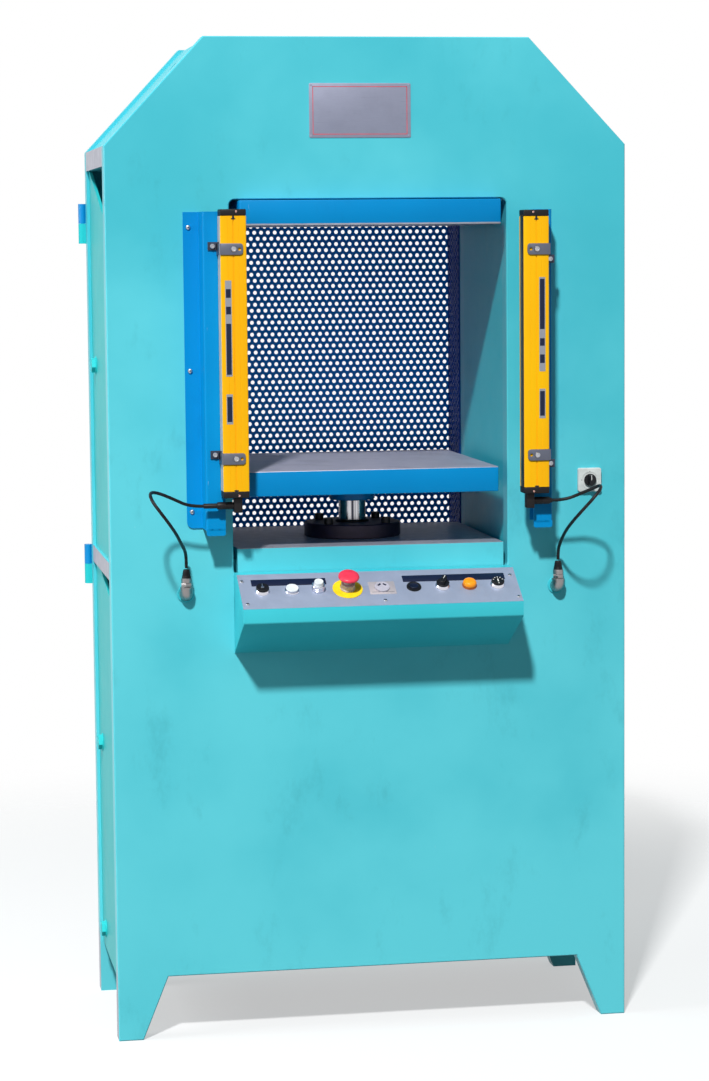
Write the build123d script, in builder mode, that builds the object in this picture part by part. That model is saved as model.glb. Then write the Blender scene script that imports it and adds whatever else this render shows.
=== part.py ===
from build123d import *
from collections import namedtuple
import math
import os

# Hydraulic platen press with a four-legged plate frame, a ram that rises from below the table,
# a sloping control console, a light curtain on each side of the opening and a hinged rear guard.
# Millimetres. The origin is on the floor at the middle of the footprint, from the console's front
# edge to the guard's rear face. +X is to the operator's right, +Y to the back and +Z up.

# Frame
frame_width = 1050
frame_height = 2000
frame_depth = 450
plate_thickness = 40
crown_inset = 198
shoulder_drop = 212
foot_width = 50
leg_top_width = 102
leg_height = 128
edge_break = 2
opening_share = 8 / 15
opening_bottom = 937
opening_drop = 318
opening_corner = 12
crosshead_thickness = 39
bolster_top = 964
bolster_thickness = 34
cover_recess = 6
cover_thickness = 6
cover_bottom = 112
upper_window_height = 117
lower_window_height = 56
lower_window_depth = 290
inner_wall_thickness = 10
lifting_hole_radius = 11
lifting_hole_drop = 46
cover_bolt_size = 27
cover_bolt_height = 10
cover_bolt_lift = 43
cover_bolt_spacing = 400
cover_bolt_drop = 441
cover_bolt_setback = 80

# Table, ram and platens
table_gap = 8.5
table_thickness = 26
table_inset = 2
table_lip_drop = 24
table_lip_gap = 0.5
rod_radius = 28
running_gap = 0.05
rod_passage_gap = 2
gland_radius = 100
gland_height = 29
gland_screw_reach = 60
gland_screw_radius = 6
gland_screw_depth = 15
screw_head_height = 12
wiper_radius = 35
wiper_height = 5
rod_show = 46
boss_radius = 47.5
boss_height = 31
platen_gap = 25
platen_overhang = 30
platen_thickness = 50
platen_edge = 1.5
ram_stroke = 430
upper_platen_gap = 18
upper_platen_drop = 52
head_rib_count = 4
head_rib_width = 60
cylinder_bore_radius = 60
cylinder_wall = 15
cylinder_flange_radius = 105
cylinder_flange_height = 25
piston_height = 60
piston_floor_gap = 6
piston_groove_depth = 3
piston_groove_height = 8
cylinder_cap_height = 30
cylinder_cap_rim = 10
port_radius = 12
port_length = 12

# Rear guard
guard_depth = 120
guard_overlap_below = 12
guard_overlap_above = 8
guard_sheet = 2
guard_clearance = 1.5
guard_flange_width = 20
guard_lip = 18
guard_hole_radius = 18
guard_hole_pitch = 72
hinge_radius = 8.5
hinge_pin_radius = 4
hinge_side_offset = 6
hinge_rear_offset = 10
strap_height = 41
strap_thickness = 5
strap_drop = 5
strap_top_gap = 8
knuckle_height = 42
seat_gap = 0.3

# Console and its controls
console_top = 943
console_reach = 140
console_shelf = 45
console_fall = 57
console_lip = 30
console_back_drop = 162
console_sheet = 2.5
fascia_thickness = 2
control_hole_radius = 11.2
barrel_radius = 11
barrel_depth = 12
bezel_radius = 14.8
bezel_height = 3
selector_ring_height = 6.5
button_radius = 9
button_gap = 0.15
button_travel = 3
key_share = -0.4214
white_button_share = -0.3159
tall_button_share = -0.2227
stop_share = -0.1175
plug_share = 0.0066
black_button_share = 0.1211
mode_share = 0.2243
lamp_share = 0.3223
drive_share = 0.4243
white_button_height = 8
black_button_height = 4.5
selector_radius = 13
low_selector_height = 5
tall_collar_height = 14
tall_cap_height = 22
stop_disc_radius = 30
stop_disc_height = 1.5
stop_collar_radius = 15
stop_collar_height = 14
stop_head_radius = 21
stop_head_height = 13
stop_head_clearance = 2
stop_travel = 6
knob_height = 13
knob_bar_width = 8
lamp_radius = 14
lamp_height = 10
plug_plate_width = 53
plug_plate_height = 40
plug_radius = 15
plug_height = 4
legend_height = 20
legend_centre = 27
legend_overhang = 19
legend_thickness = 0.8
contact_width = 30
contact_height = 40
contact_drop = 18
contact_depth = 36
fascia_screw_radius = 4
fascia_screw_height = 2.2
fascia_screw_shifts = [(-1, 7, 33), (-1, 10, -40), (0, 4, -40), (1, -7, -41), (1, -11, 30)]

# Nameplate and main switch on the front plate
nameplate_width = 204
nameplate_height = 107
nameplate_thickness = 1.5
nameplate_x = -16
nameplate_drop = 198
switch_size = 48
switch_thickness = 9
switch_shift = 8.5
switch_z = 1112.5
switch_knob_radius = 12.5
switch_knob_height = 15
switch_shaft_radius = 5
switch_corner = 4

# Light curtains, their brackets, plugs and cables
curtain_width = 51
curtain_depth = 40
curtain_rise = 4
curtain_cap = 13
curtain_back = 66
left_curtain_offset = 6
right_curtain_offset = 36
left_curtain_base = 1101
right_curtain_base = 1096
bracket_sheet = 3
bracket_flange = 31
bracket_bottom = 1034
bracket_top_drop = 24
bracket_tab_drop = 10
bracket_corner = 12
bracket_tab_corner = 4
bracket_tab_width = 38
left_web_offset = 61
right_web_offset = 77
bracket_screw_inset = 33
bracket_screw_drop = 30
bracket_screw_radius = 5
bracket_screw_height = 4
clip_sheet = 3
clip_height = 22
clip_reach = 44
clip_lift = 77
clip_drop = 77
clip_foot = 20
clip_foot_height = 26
clip_slot_inset = 7
clip_slot_radius = 3
clip_bolt_inset = 8
clip_bolt_size = 10
clip_bolt_height = 5
left_foot_shift = 6
right_foot_shift = -20
lens_width = 28
lens_edge = 3
lens_thickness = 1.5
seam_width = 2
connector_width = 16
connector_height = 30
connector_depth = 20
connector_setback = 84
left_connector_offset = 1
right_connector_offset = 26
plug_drop = 16
plug_body_radius = 7
plug_length = 33
sleeve_radius = 5
left_sleeve = 27
right_sleeve = 5
cable_radius = 3.25
left_elbow_offset = 97
left_elbow_z = 903
right_elbow_offset = 100
right_elbow_z = 899
elbow_setback = 20
elbow_radius = 13.5
elbow_bend = 15
elbow_rise = 16
elbow_nut_radius = 17
elbow_nut_height = 4
collar_radius = 14.5
collar_height = 18
boot_height = 20
boot_tip_radius = 7

# Hydraulic unit inside the base
shelf_thickness = 6
tank_side_gap = 23
tank_ram_gap = 160
tank_end_gap = 35
tank_height = 260
motor_radius = 85
drive_end_gap = 15
motor_side_gap = 58
motor_lift = 12
pump_radius = 45
pump_length = 90
bell_radius = 70
bell_length = 40
valve_block_width = 90
pipe_radius = 8
pipe_bend = 30
pipe_rise = 70
pipe_offset = 60
tank_corner = 12

half_width = frame_width / 2
opening_width = opening_share * frame_width
half_opening = opening_width / 2
crown_half = half_width - crown_inset
shoulder_height = frame_height - shoulder_drop
opening_top = frame_height - opening_drop
front_face = -(frame_depth + guard_depth - console_reach) / 2
front_inner = front_face + plate_thickness
rear_face = front_face + frame_depth
rear_inner = rear_face - plate_thickness
middle = front_face + frame_depth / 2
bay_depth = rear_inner - front_inner
bolster_bottom = bolster_top - bolster_thickness
crosshead_bottom = shoulder_height - crosshead_thickness
table_top = bolster_top + table_thickness
gland_top = table_top + gland_height
boss_bottom = gland_top + rod_show
platen_bottom = boss_bottom + boss_height
table_width = opening_width - 2 * table_gap
platen_width = opening_width - 2 * platen_gap
platen_depth = frame_depth + 2 * platen_overhang
upper_platen_width = opening_width - 2 * upper_platen_gap
upper_platen_bottom = opening_top - upper_platen_drop
cover_x = half_width - cover_recess
cover_inner_x = cover_x - cover_thickness
console_width = opening_width

os.makedirs("parts", exist_ok=True)


def keep(piece, name):
    """Labels a finished piece and writes it to a file of its own."""
    piece.part.label = name
    export_step(piece.part, f"parts/{name}.step")


# Frame plates: one outline for both, with the legs' slanted cut-out and the working opening
plate_outline = [
    (-half_width, 0),
    (-half_width + foot_width, 0),
    (-half_width + leg_top_width, leg_height),
    (half_width - leg_top_width, leg_height),
    (half_width - foot_width, 0),
    (half_width, 0),
    (half_width, shoulder_height),
    (crown_half, frame_height),
    (-crown_half, frame_height),
    (-half_width, shoulder_height),
]


def frame_plate(back_y, outer):
    """A frame plate whose rear face is at back_y; outer picks the face with broken edges."""
    with BuildPart() as plate:
        with BuildSketch(Plane.XZ.offset(-back_y)):
            with BuildLine():
                Polyline(plate_outline, close=True)
            make_face()
            with Locations((0, (opening_bottom + opening_top) / 2)):
                RectangleRounded(
                    opening_width, opening_top - opening_bottom, opening_corner, mode=Mode.SUBTRACT
                )
        extrude(amount=plate_thickness)
        chamfer(plate.faces().sort_by(Axis.Y)[outer].edges(), length=edge_break)
    return plate


keep(frame_plate(front_inner, 0), "front_plate")
keep(frame_plate(rear_face, -1), "rear_plate")

# Crosshead and bolster plates join the two frame plates across their whole width
with BuildPart() as crosshead:
    with BuildSketch(Plane.XY.offset(crosshead_bottom)):
        with Locations((0, middle)):
            Rectangle(frame_width, bay_depth)
    extrude(amount=crosshead_thickness)
keep(crosshead, "crosshead_plate")

with BuildPart() as bolster:
    with BuildSketch(Plane.XY.offset(bolster_bottom)):
        with Locations((0, middle)):
            Rectangle(frame_width, bay_depth)
            Circle(rod_radius + rod_passage_gap, mode=Mode.SUBTRACT)
    extrude(amount=bolster_thickness)
keep(bolster, "bolster_plate")


def slope_x(height, depth):
    """Half width of the crown's slope at a height, measured a given depth below its face."""
    run = half_width - crown_half
    rise = frame_height - shoulder_height
    return half_width - (height - shoulder_height) * run / rise - depth * math.hypot(run, rise) / rise


# Crown cover: one folded sheet between the plates, with a lifting hole in each slope
cover_top = frame_height - cover_recess
cover_inner = cover_recess + cover_thickness
top_half = slope_x(cover_top, cover_recess)
inner_half = slope_x(cover_top - cover_thickness, cover_inner)
lifting_height = frame_height - lifting_hole_drop
slope_turn = math.atan2(half_width - crown_half, frame_height - shoulder_height)
with BuildPart() as crown_cover:
    with BuildSketch(Plane.XZ.offset(-rear_inner)):
        with BuildLine():
            Polyline(
                (-slope_x(shoulder_height, cover_recess), shoulder_height),
                (-top_half, cover_top),
                (top_half, cover_top),
                (slope_x(shoulder_height, cover_recess), shoulder_height),
                (slope_x(shoulder_height, cover_inner), shoulder_height),
                (inner_half, cover_top - cover_thickness),
                (-inner_half, cover_top - cover_thickness),
                (-slope_x(shoulder_height, cover_inner), shoulder_height),
                close=True,
            )
        make_face()
    extrude(amount=bay_depth)
    for side in (-1, 1):
        hole_plane = Plane(
            origin=(side * slope_x(lifting_height, cover_recess), middle, lifting_height),
            x_dir=(0, 1, 0),
            z_dir=(side * math.cos(slope_turn), 0, math.sin(slope_turn)),
        )
        with Locations(hole_plane):
            Hole(lifting_hole_radius, depth=2 * cover_thickness)
keep(crown_cover, "crown_cover")

# Side covers stand between the plates and leave slanted windows at the front
with BuildPart() as side_covers:
    for side in (-1, 1):
        with BuildSketch(Plane.YZ.offset(side * cover_x)):
            with BuildLine():
                Polyline(
                    (front_inner, bolster_top),
                    (rear_inner, bolster_top),
                    (rear_inner, crosshead_bottom),
                    (front_inner, crosshead_bottom - upper_window_height),
                    close=True,
                )
            make_face()
            with BuildLine():
                Polyline(
                    (front_inner, cover_bottom),
                    (rear_inner, cover_bottom),
                    (rear_inner, bolster_bottom),
                    (front_inner + lower_window_depth, bolster_bottom),
                    (front_inner, bolster_bottom - lower_window_height),
                    close=True,
                )
            make_face()
        extrude(amount=-side * cover_thickness)
keep(side_covers, "side_covers")

# Inner walls beside the working space
with BuildPart() as inner_walls:
    for side in (-1, 1):
        with BuildSketch(Plane.YZ.offset(side * half_opening)):
            with Locations((middle, (bolster_top + crosshead_bottom) / 2)):
                Rectangle(bay_depth, crosshead_bottom - bolster_top)
        extrude(amount=side * inner_wall_thickness)
keep(inner_walls, "inner_walls")

# Hexagon bolt heads on the side covers, one column on each side
lowest_bolt = cover_bottom + cover_bolt_lift
cover_bolt_heights = [lowest_bolt, lowest_bolt + cover_bolt_spacing, shoulder_height - cover_bolt_drop]
with BuildPart() as cover_bolts:
    for side in (-1, 1):
        with BuildSketch(Plane.YZ.offset(side * cover_x)):
            with Locations([(rear_inner - cover_bolt_setback, z) for z in cover_bolt_heights]):
                RegularPolygon(cover_bolt_size / 2, 6, major_radius=False)
        extrude(amount=side * cover_bolt_height)
    bolt_faces = cover_bolts.faces().filter_by(Axis.X)
    outer_faces = bolt_faces.group_by(Axis.X)[0] + bolt_faces.group_by(Axis.X)[-1]
    chamfer(outer_faces.edges(), length=1)
keep(cover_bolts, "cover_bolts")

# Table: a slab on the bolster with a lip that hangs inside the front plate's opening
with BuildPart() as table:
    with BuildSketch(Plane.YZ):
        with BuildLine():
            Polyline(
                (front_face + table_inset, table_top),
                (front_face + table_inset, bolster_top - table_lip_drop),
                (front_inner - table_lip_gap, bolster_top - table_lip_drop),
                (front_inner - table_lip_gap, bolster_top),
                (rear_face - table_inset, bolster_top),
                (rear_face - table_inset, table_top),
                close=True,
            )
        make_face()
    extrude(amount=table_width / 2, both=True)
    with Locations((0, middle, table_top)):
        Hole(rod_radius + rod_passage_gap)
        with GridLocations(2 * gland_screw_reach, 2 * gland_screw_reach, 2, 2):
            Hole(gland_screw_radius + button_gap, depth=gland_screw_depth)
keep(table, "table_plate")

# Ram gland: a thick round flange on the table, its four cap screws and the rod's wiper ring
with BuildPart() as gland:
    with BuildSketch(Plane.XY.offset(table_top)):
        with Locations((0, middle)):
            Circle(gland_radius)
            Circle(rod_radius + running_gap, mode=Mode.SUBTRACT)
            with GridLocations(2 * gland_screw_reach, 2 * gland_screw_reach, 2, 2):
                Circle(gland_screw_radius + button_gap, mode=Mode.SUBTRACT)
    extrude(amount=gland_height)
    chamfer(gland.edges().filter_by(GeomType.CIRCLE).sort_by(SortBy.RADIUS)[-2:], length=edge_break)
keep(gland, "gland_flange")

head_radius = 1.5 * gland_screw_radius
with BuildPart() as gland_screws:
    with BuildSketch(Plane.XY.offset(table_top - gland_screw_depth)):
        with Locations((0, middle)):
            with GridLocations(2 * gland_screw_reach, 2 * gland_screw_reach, 2, 2):
                Circle(gland_screw_radius)
    extrude(amount=gland_height + gland_screw_depth)
    with BuildSketch(Plane.XY.offset(gland_top)):
        with Locations((0, middle)):
            with GridLocations(2 * gland_screw_reach, 2 * gland_screw_reach, 2, 2):
                Circle(head_radius)
    extrude(amount=screw_head_height)
    with BuildSketch(Plane.XY.offset(gland_top + screw_head_height)):
        with Locations((0, middle)):
            with GridLocations(2 * gland_screw_reach, 2 * gland_screw_reach, 2, 2):
                RegularPolygon(head_radius / 2, 6, major_radius=False)
    extrude(amount=-screw_head_height / 2, mode=Mode.SUBTRACT)
keep(gland_screws, "gland_screws")

with BuildPart() as wiper:
    with BuildSketch(Plane.XY.offset(gland_top)):
        with Locations((0, middle)):
            Circle(wiper_radius)
            Circle(rod_radius + running_gap, mode=Mode.SUBTRACT)
    extrude(amount=wiper_height)
    chamfer(wiper.faces().sort_by(Axis.Z)[-1].edges().sort_by(SortBy.RADIUS)[-1], length=edge_break)
keep(wiper, "rod_wiper")

# Cylinder below the bolster, long enough for the whole stroke of the piston, with a welded end
# cap and its port
piston_bottom = bolster_bottom - ram_stroke - piston_height - 2 * piston_floor_gap
cylinder_floor = piston_bottom - piston_floor_gap
cylinder_radius = cylinder_bore_radius + cylinder_wall
cap_radius = cylinder_radius + cylinder_cap_rim
port_x = -cap_radius - port_length
port_z = cylinder_floor - cylinder_cap_height / 2
with BuildPart() as cylinder:
    with BuildSketch(Plane.XZ.offset(-middle)):
        with BuildLine():
            Polyline(
                (0, cylinder_floor - cylinder_cap_height),
                (cap_radius - edge_break, cylinder_floor - cylinder_cap_height),
                (cap_radius, cylinder_floor - cylinder_cap_height + edge_break),
                (cap_radius, cylinder_floor),
                (cylinder_radius, cylinder_floor),
                (cylinder_radius, bolster_bottom - cylinder_flange_height),
                (cylinder_flange_radius, bolster_bottom - cylinder_flange_height),
                (cylinder_flange_radius, bolster_bottom),
                (cylinder_bore_radius, bolster_bottom),
                (cylinder_bore_radius, cylinder_floor),
                (0, cylinder_floor),
                close=True,
            )
        make_face()
    revolve(axis=Axis((0, middle, 0), (0, 0, 1)))
    with BuildSketch(Plane.YZ.offset(port_x)):
        with Locations((middle, port_z)):
            Circle(port_radius)
    extrude(amount=2 * port_length)
keep(cylinder, "cylinder")

# Ram: piston, chromed rod and the boss that carries the lower platen
piston_radius = cylinder_bore_radius - running_gap
with BuildPart() as piston:
    with BuildSketch(Plane.XY.offset(piston_bottom)):
        with Locations((0, middle)):
            Circle(piston_radius)
    extrude(amount=piston_height)
    for share in (1 / 3, 2 / 3):
        groove_bottom = piston_bottom + share * piston_height - piston_groove_height / 2
        with BuildSketch(Plane.XY.offset(groove_bottom)):
            with Locations((0, middle)):
                Circle(piston_radius)
                Circle(piston_radius - piston_groove_depth, mode=Mode.SUBTRACT)
        extrude(amount=piston_groove_height, mode=Mode.SUBTRACT)
keep(piston, "piston")

with BuildPart() as rod:
    with BuildSketch(Plane.XY.offset(piston_bottom + piston_height)):
        with Locations((0, middle)):
            Circle(rod_radius)
    extrude(amount=boss_bottom - piston_bottom - piston_height)
keep(rod, "ram_rod")

with BuildPart() as boss:
    with BuildSketch(Plane.XY.offset(boss_bottom)):
        with Locations((0, middle)):
            Circle(boss_radius)
    extrude(amount=boss_height)
    chamfer(boss.faces().sort_by(Axis.Z)[0].edges(), length=edge_break)
keep(boss, "ram_boss")


def platen(bottom, width):
    """A rectangular pressing plate, its underside at the given height."""
    with BuildPart() as plate:
        with BuildSketch(Plane.XY.offset(bottom)):
            with Locations((0, middle)):
                Rectangle(width, platen_depth)
        extrude(amount=platen_thickness)
        chamfer(plate.edges(), length=platen_edge)
    return plate


keep(platen(platen_bottom, platen_width), "lower_platen")
keep(platen(upper_platen_bottom, upper_platen_width), "upper_platen")

# Ribs that carry the crosshead's load down to the upper platen
upper_platen_top = upper_platen_bottom + platen_thickness
rib_span = upper_platen_width - head_rib_width - 2 * platen_edge
with BuildPart() as head_ribs:
    with BuildSketch(Plane.XY.offset(upper_platen_top)):
        with Locations((0, middle)):
            with GridLocations(rib_span / (head_rib_count - 1), 0, head_rib_count, 1):
                Rectangle(head_rib_width, bay_depth)
    extrude(amount=crosshead_bottom - upper_platen_top)
keep(head_ribs, "head_ribs")

# Rear guard: a folded box open to the press, with a perforated screen as its back
guard_width = opening_width
guard_bottom = opening_bottom - guard_overlap_below
guard_top = opening_top + guard_overlap_above
guard_front = rear_face + guard_clearance
guard_back = rear_face + guard_depth
screen_front = guard_back - guard_sheet
guard_height = guard_top - guard_bottom
guard_centre = (0, (guard_top + guard_bottom) / 2)
with BuildPart() as guard_box:
    with BuildSketch(Plane.XZ.offset(-screen_front)):
        with Locations(guard_centre):
            Rectangle(guard_width, guard_height)
            Rectangle(
                guard_width - 2 * guard_sheet, guard_height - 2 * guard_sheet, mode=Mode.SUBTRACT
            )
    extrude(amount=screen_front - guard_front)
    with BuildSketch(Plane.XZ.offset(-screen_front)):
        with Locations(guard_centre):
            Rectangle(guard_width, guard_height)
            Rectangle(guard_width - 2 * guard_lip, guard_height - 2 * guard_lip, mode=Mode.SUBTRACT)
    extrude(amount=guard_sheet)
    with BuildSketch(Plane.XZ.offset(-guard_front - guard_sheet)):
        with Locations(guard_centre):
            Rectangle(
                guard_width + 2 * guard_flange_width, guard_height + 2 * guard_flange_width
            )
            Rectangle(
                guard_width - 2 * guard_sheet, guard_height - 2 * guard_sheet, mode=Mode.SUBTRACT
            )
    extrude(amount=guard_sheet)
keep(guard_box, "guard_box")

row_pitch = guard_hole_pitch * math.sin(math.radians(60))
hole_rows = 1 + int((guard_height - 2 * guard_lip - 2 * guard_hole_radius) / row_pitch)
hole_span = guard_width - 2 * guard_lip - 2 * guard_hole_radius - guard_hole_pitch / 2
hole_columns = 1 + int(hole_span / guard_hole_pitch)
with BuildPart() as guard_screen:
    with BuildSketch(Plane.XZ.offset(-guard_back)):
        with Locations(guard_centre):
            Rectangle(guard_width, guard_height)
            for row in range(hole_rows):
                row_height = (row - (hole_rows - 1) / 2) * row_pitch
                shift = guard_hole_pitch / 4 * (1 if row % 2 else -1)
                with Locations((shift, row_height)):
                    with GridLocations(guard_hole_pitch, 0, hole_columns, 1):
                        Circle(guard_hole_radius, mode=Mode.SUBTRACT)
    extrude(amount=guard_sheet)
keep(guard_screen, "guard_screen")

# Guard hinges: each strap ends in a barrel that sits on a knuckle welded to the rear plate
strap_heights = [guard_bottom - strap_drop, guard_top - strap_height - strap_top_gap]
hinge_x = -half_width - hinge_side_offset
hinge_y = rear_face + hinge_rear_offset
strap_front = guard_front + guard_sheet
strap_back = strap_front + strap_thickness
with BuildPart() as guard_straps:
    for height in strap_heights:
        with BuildSketch(Plane.XY.offset(height)):
            with Locations((hinge_x, hinge_y)):
                Circle(hinge_radius)
            with BuildLine():
                Polyline(
                    (hinge_x, strap_front),
                    (-guard_width / 2, strap_front),
                    (-guard_width / 2, strap_back),
                    (hinge_x, strap_back),
                    close=True,
                )
            make_face()
        extrude(amount=strap_height)
        with BuildSketch(Plane.XY.offset(height)):
            with Locations((hinge_x, hinge_y)):
                Circle(hinge_pin_radius + running_gap)
        extrude(amount=strap_height * 3 / 4, mode=Mode.SUBTRACT)
keep(guard_straps, "guard_straps")

with BuildPart() as hinge_knuckles:
    for height in strap_heights:
        with BuildSketch(Plane.XY.offset(height - seat_gap)):
            with Locations((hinge_x, hinge_y)):
                Circle(hinge_radius)
            with BuildLine():
                Polyline(
                    (hinge_x, rear_face),
                    (-half_width + 2 * hinge_radius, rear_face),
                    (-half_width + 2 * hinge_radius, rear_face + strap_thickness),
                    (hinge_x, hinge_y),
                    close=True,
                )
            make_face()
        extrude(amount=-knuckle_height)
        with BuildSketch(Plane.XY.offset(height - seat_gap)):
            with Locations((hinge_x, hinge_y)):
                Circle(hinge_pin_radius)
        extrude(amount=strap_height * 2 / 3)
keep(hinge_knuckles, "hinge_knuckles")

# Nameplate, left bare, and the main switch
nameplate_bottom = frame_height - nameplate_drop
bracket_outer_x = half_opening + right_web_offset
switch_x = (half_width + bracket_outer_x) / 2 + switch_shift
with BuildPart() as nameplate:
    with BuildSketch(Plane.XZ.offset(-front_face)):
        with Locations((nameplate_x, nameplate_bottom + nameplate_height / 2)):
            Rectangle(nameplate_width, nameplate_height)
    extrude(amount=nameplate_thickness)
keep(nameplate, "nameplate")

with BuildPart() as switch_plate:
    with BuildSketch(Plane.XZ.offset(-front_face)):
        with Locations((switch_x, switch_z)):
            Rectangle(switch_size, switch_size)
    extrude(amount=switch_thickness)
    fillet(switch_plate.edges().filter_by(Axis.Y), radius=switch_corner)
    with BuildSketch(Plane.XZ.offset(-front_face + switch_thickness)):
        with Locations((switch_x, switch_z)):
            Circle(switch_shaft_radius + running_gap)
    extrude(amount=-switch_thickness / 2, mode=Mode.SUBTRACT)
keep(switch_plate, "switch_plate")


def turn_knob(plane, place, radius, height, shaft_radius, shaft_length):
    """A round knob with an upright finger bar on top and a shaft below its plane."""
    with BuildPart() as knob:
        with BuildSketch(plane):
            with Locations(place):
                Circle(radius)
        extrude(amount=height / 3)
        with BuildSketch(plane.offset(height / 3)):
            with Locations(place):
                SlotOverall(2 * radius - edge_break, knob_bar_width, rotation=90)
        extrude(amount=height * 2 / 3)
        with BuildSketch(plane):
            with Locations(place):
                Circle(shaft_radius)
        extrude(amount=-shaft_length)
    return knob


switch_plane = Plane.XZ.offset(-front_face + switch_thickness + seat_gap)
switch_place = (switch_x, switch_z)
switch_shaft_length = switch_thickness / 2
switch_knob = turn_knob(
    switch_plane,
    switch_place,
    switch_knob_radius,
    switch_knob_height,
    switch_shaft_radius,
    switch_shaft_length,
)
keep(switch_knob, "switch_knob")

# Console housing: folded sheet, open at the back and under the sloping fascia
console_front = front_face - console_reach
slope_top_y = front_face - console_shelf
slope_bottom_z = console_top - console_fall
slope_run = console_reach - console_shelf
fascia_length = math.hypot(slope_run, console_fall)
fascia_plane = Plane(
    origin=(0, (slope_top_y + console_front) / 2, console_top - console_fall / 2),
    x_dir=(1, 0, 0),
    z_dir=(0, -console_fall / fascia_length, slope_run / fascia_length),
)
with BuildPart() as console:
    with BuildSketch(Plane.YZ):
        with BuildLine():
            Polyline(
                (front_face, console_top),
                (slope_top_y, console_top),
                (console_front, slope_bottom_z),
                (console_front, slope_bottom_z - console_lip),
                (front_face, console_top - console_back_drop),
                close=True,
            )
        make_face()
    extrude(amount=console_width / 2, both=True)
    with BuildSketch(fascia_plane):
        Rectangle(console_width, 2 * fascia_length)
    extrude(amount=-fascia_thickness, mode=Mode.SUBTRACT)
    back = console.faces().sort_by(Axis.Y)[-1]
    slope = console.faces().sort_by_distance(fascia_plane.origin)[0]
    offset(amount=-console_sheet, openings=[back, slope], kind=Kind.INTERSECTION)
keep(console, "console_housing")

key_x = key_share * console_width
white_button_x = white_button_share * console_width
tall_button_x = tall_button_share * console_width
stop_x = stop_share * console_width
plug_x = plug_share * console_width
black_button_x = black_button_share * console_width
mode_x = mode_share * console_width
lamp_x = lamp_share * console_width
drive_x = drive_share * console_width
control_places = [
    key_x,
    white_button_x,
    tall_button_x,
    stop_x,
    black_button_x,
    mode_x,
    lamp_x,
    drive_x,
]
with BuildPart() as fascia:
    with BuildSketch(fascia_plane):
        Rectangle(console_width, fascia_length)
        with Locations([(x, 0) for x in control_places]):
            Circle(control_hole_radius, mode=Mode.SUBTRACT)
    extrude(amount=-fascia_thickness)
keep(fascia, "fascia_plate")

with BuildPart() as legend_strips:
    for start, end in ((key_x, tall_button_x), (black_button_x, drive_x)):
        with BuildSketch(fascia_plane):
            with Locations(((start + end) / 2, legend_centre)):
                Rectangle(end - start + 2 * legend_overhang, legend_height)
        extrude(amount=legend_thickness)
keep(legend_strips, "legend_strips")

# Bezels: a ring on the fascia and the barrel that passes through its hole. The rings of the black
# button and the lamp are low, and the tall button's is a deep collar.
barrel_bore = button_radius + button_gap
bezel_rings = [
    (key_x, bezel_radius, selector_ring_height),
    (white_button_x, bezel_radius, selector_ring_height),
    (tall_button_x, barrel_radius + edge_break, tall_collar_height),
    (black_button_x, bezel_radius, bezel_height),
    (mode_x, bezel_radius, selector_ring_height),
    (lamp_x, bezel_radius, bezel_height),
    (drive_x, bezel_radius, selector_ring_height),
]
with BuildPart() as bezels:
    for x, ring_radius, ring_height in bezel_rings:
        with BuildSketch(fascia_plane):
            with Locations((x, 0)):
                Circle(ring_radius)
                Circle(barrel_bore, mode=Mode.SUBTRACT)
        extrude(amount=ring_height)
        with BuildSketch(fascia_plane):
            with Locations((x, 0)):
                Circle(barrel_radius)
                Circle(barrel_bore, mode=Mode.SUBTRACT)
        extrude(amount=-barrel_depth)
keep(bezels, "bezels")

# Contact blocks clipped below each barrel inside the console
with BuildPart() as contact_blocks:
    with BuildSketch(fascia_plane.offset(-contact_drop)):
        with Locations([(x, 0) for x in control_places]):
            Rectangle(contact_width, contact_height)
    extrude(amount=-contact_depth)
    with BuildSketch(fascia_plane.offset(-contact_drop)):
        with Locations([(x, 0) for x in control_places]):
            Circle(barrel_radius + button_gap)
            Circle(barrel_radius - edge_break, mode=Mode.SUBTRACT)
    extrude(amount=contact_drop - barrel_depth)
keep(contact_blocks, "contact_blocks")


control_axis = Axis(fascia_plane.origin, fascia_plane.z_dir)


def push_button(x, height):
    """A round button that slides in a barrel of the fascia."""
    with BuildPart() as button:
        with BuildSketch(fascia_plane.offset(button_travel - barrel_depth)):
            with Locations((x, 0)):
                Circle(button_radius)
        extrude(amount=barrel_depth - button_travel + height)
        chamfer(button.faces().sort_by(control_axis)[-1].edges(), length=1)
    return button


keep(push_button(white_button_x, white_button_height), "white_button")
keep(push_button(black_button_x, black_button_height), "black_button")
keep(push_button(tall_button_x, tall_cap_height), "tall_button")

# Emergency stop: yellow disc, fixed collar, sliding stem and a mushroom head that twists
with BuildPart() as stop_disc:
    with BuildSketch(fascia_plane):
        with Locations((stop_x, 0)):
            Circle(stop_disc_radius)
            Circle(control_hole_radius, mode=Mode.SUBTRACT)
    extrude(amount=stop_disc_height)
keep(stop_disc, "stop_disc")

stop_collar_top = stop_disc_height + stop_collar_height
with BuildPart() as stop_collar:
    with BuildSketch(fascia_plane.offset(stop_disc_height)):
        with Locations((stop_x, 0)):
            Circle(stop_collar_radius)
            Circle(barrel_bore, mode=Mode.SUBTRACT)
    extrude(amount=stop_collar_height)
    with BuildSketch(fascia_plane.offset(stop_disc_height)):
        with Locations((stop_x, 0)):
            Circle(barrel_radius)
            Circle(barrel_bore, mode=Mode.SUBTRACT)
    extrude(amount=-barrel_depth - stop_disc_height)
keep(stop_collar, "stop_collar")

stop_head_bottom = stop_collar_top + stop_travel + stop_head_clearance
stop_stem_top = stop_head_bottom + stop_head_height / 2
with BuildPart() as stop_stem:
    with BuildSketch(fascia_plane.offset(stop_travel - barrel_depth)):
        with Locations((stop_x, 0)):
            Circle(button_radius)
    extrude(amount=stop_stem_top + barrel_depth - stop_travel)
keep(stop_stem, "stop_stem")

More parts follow.
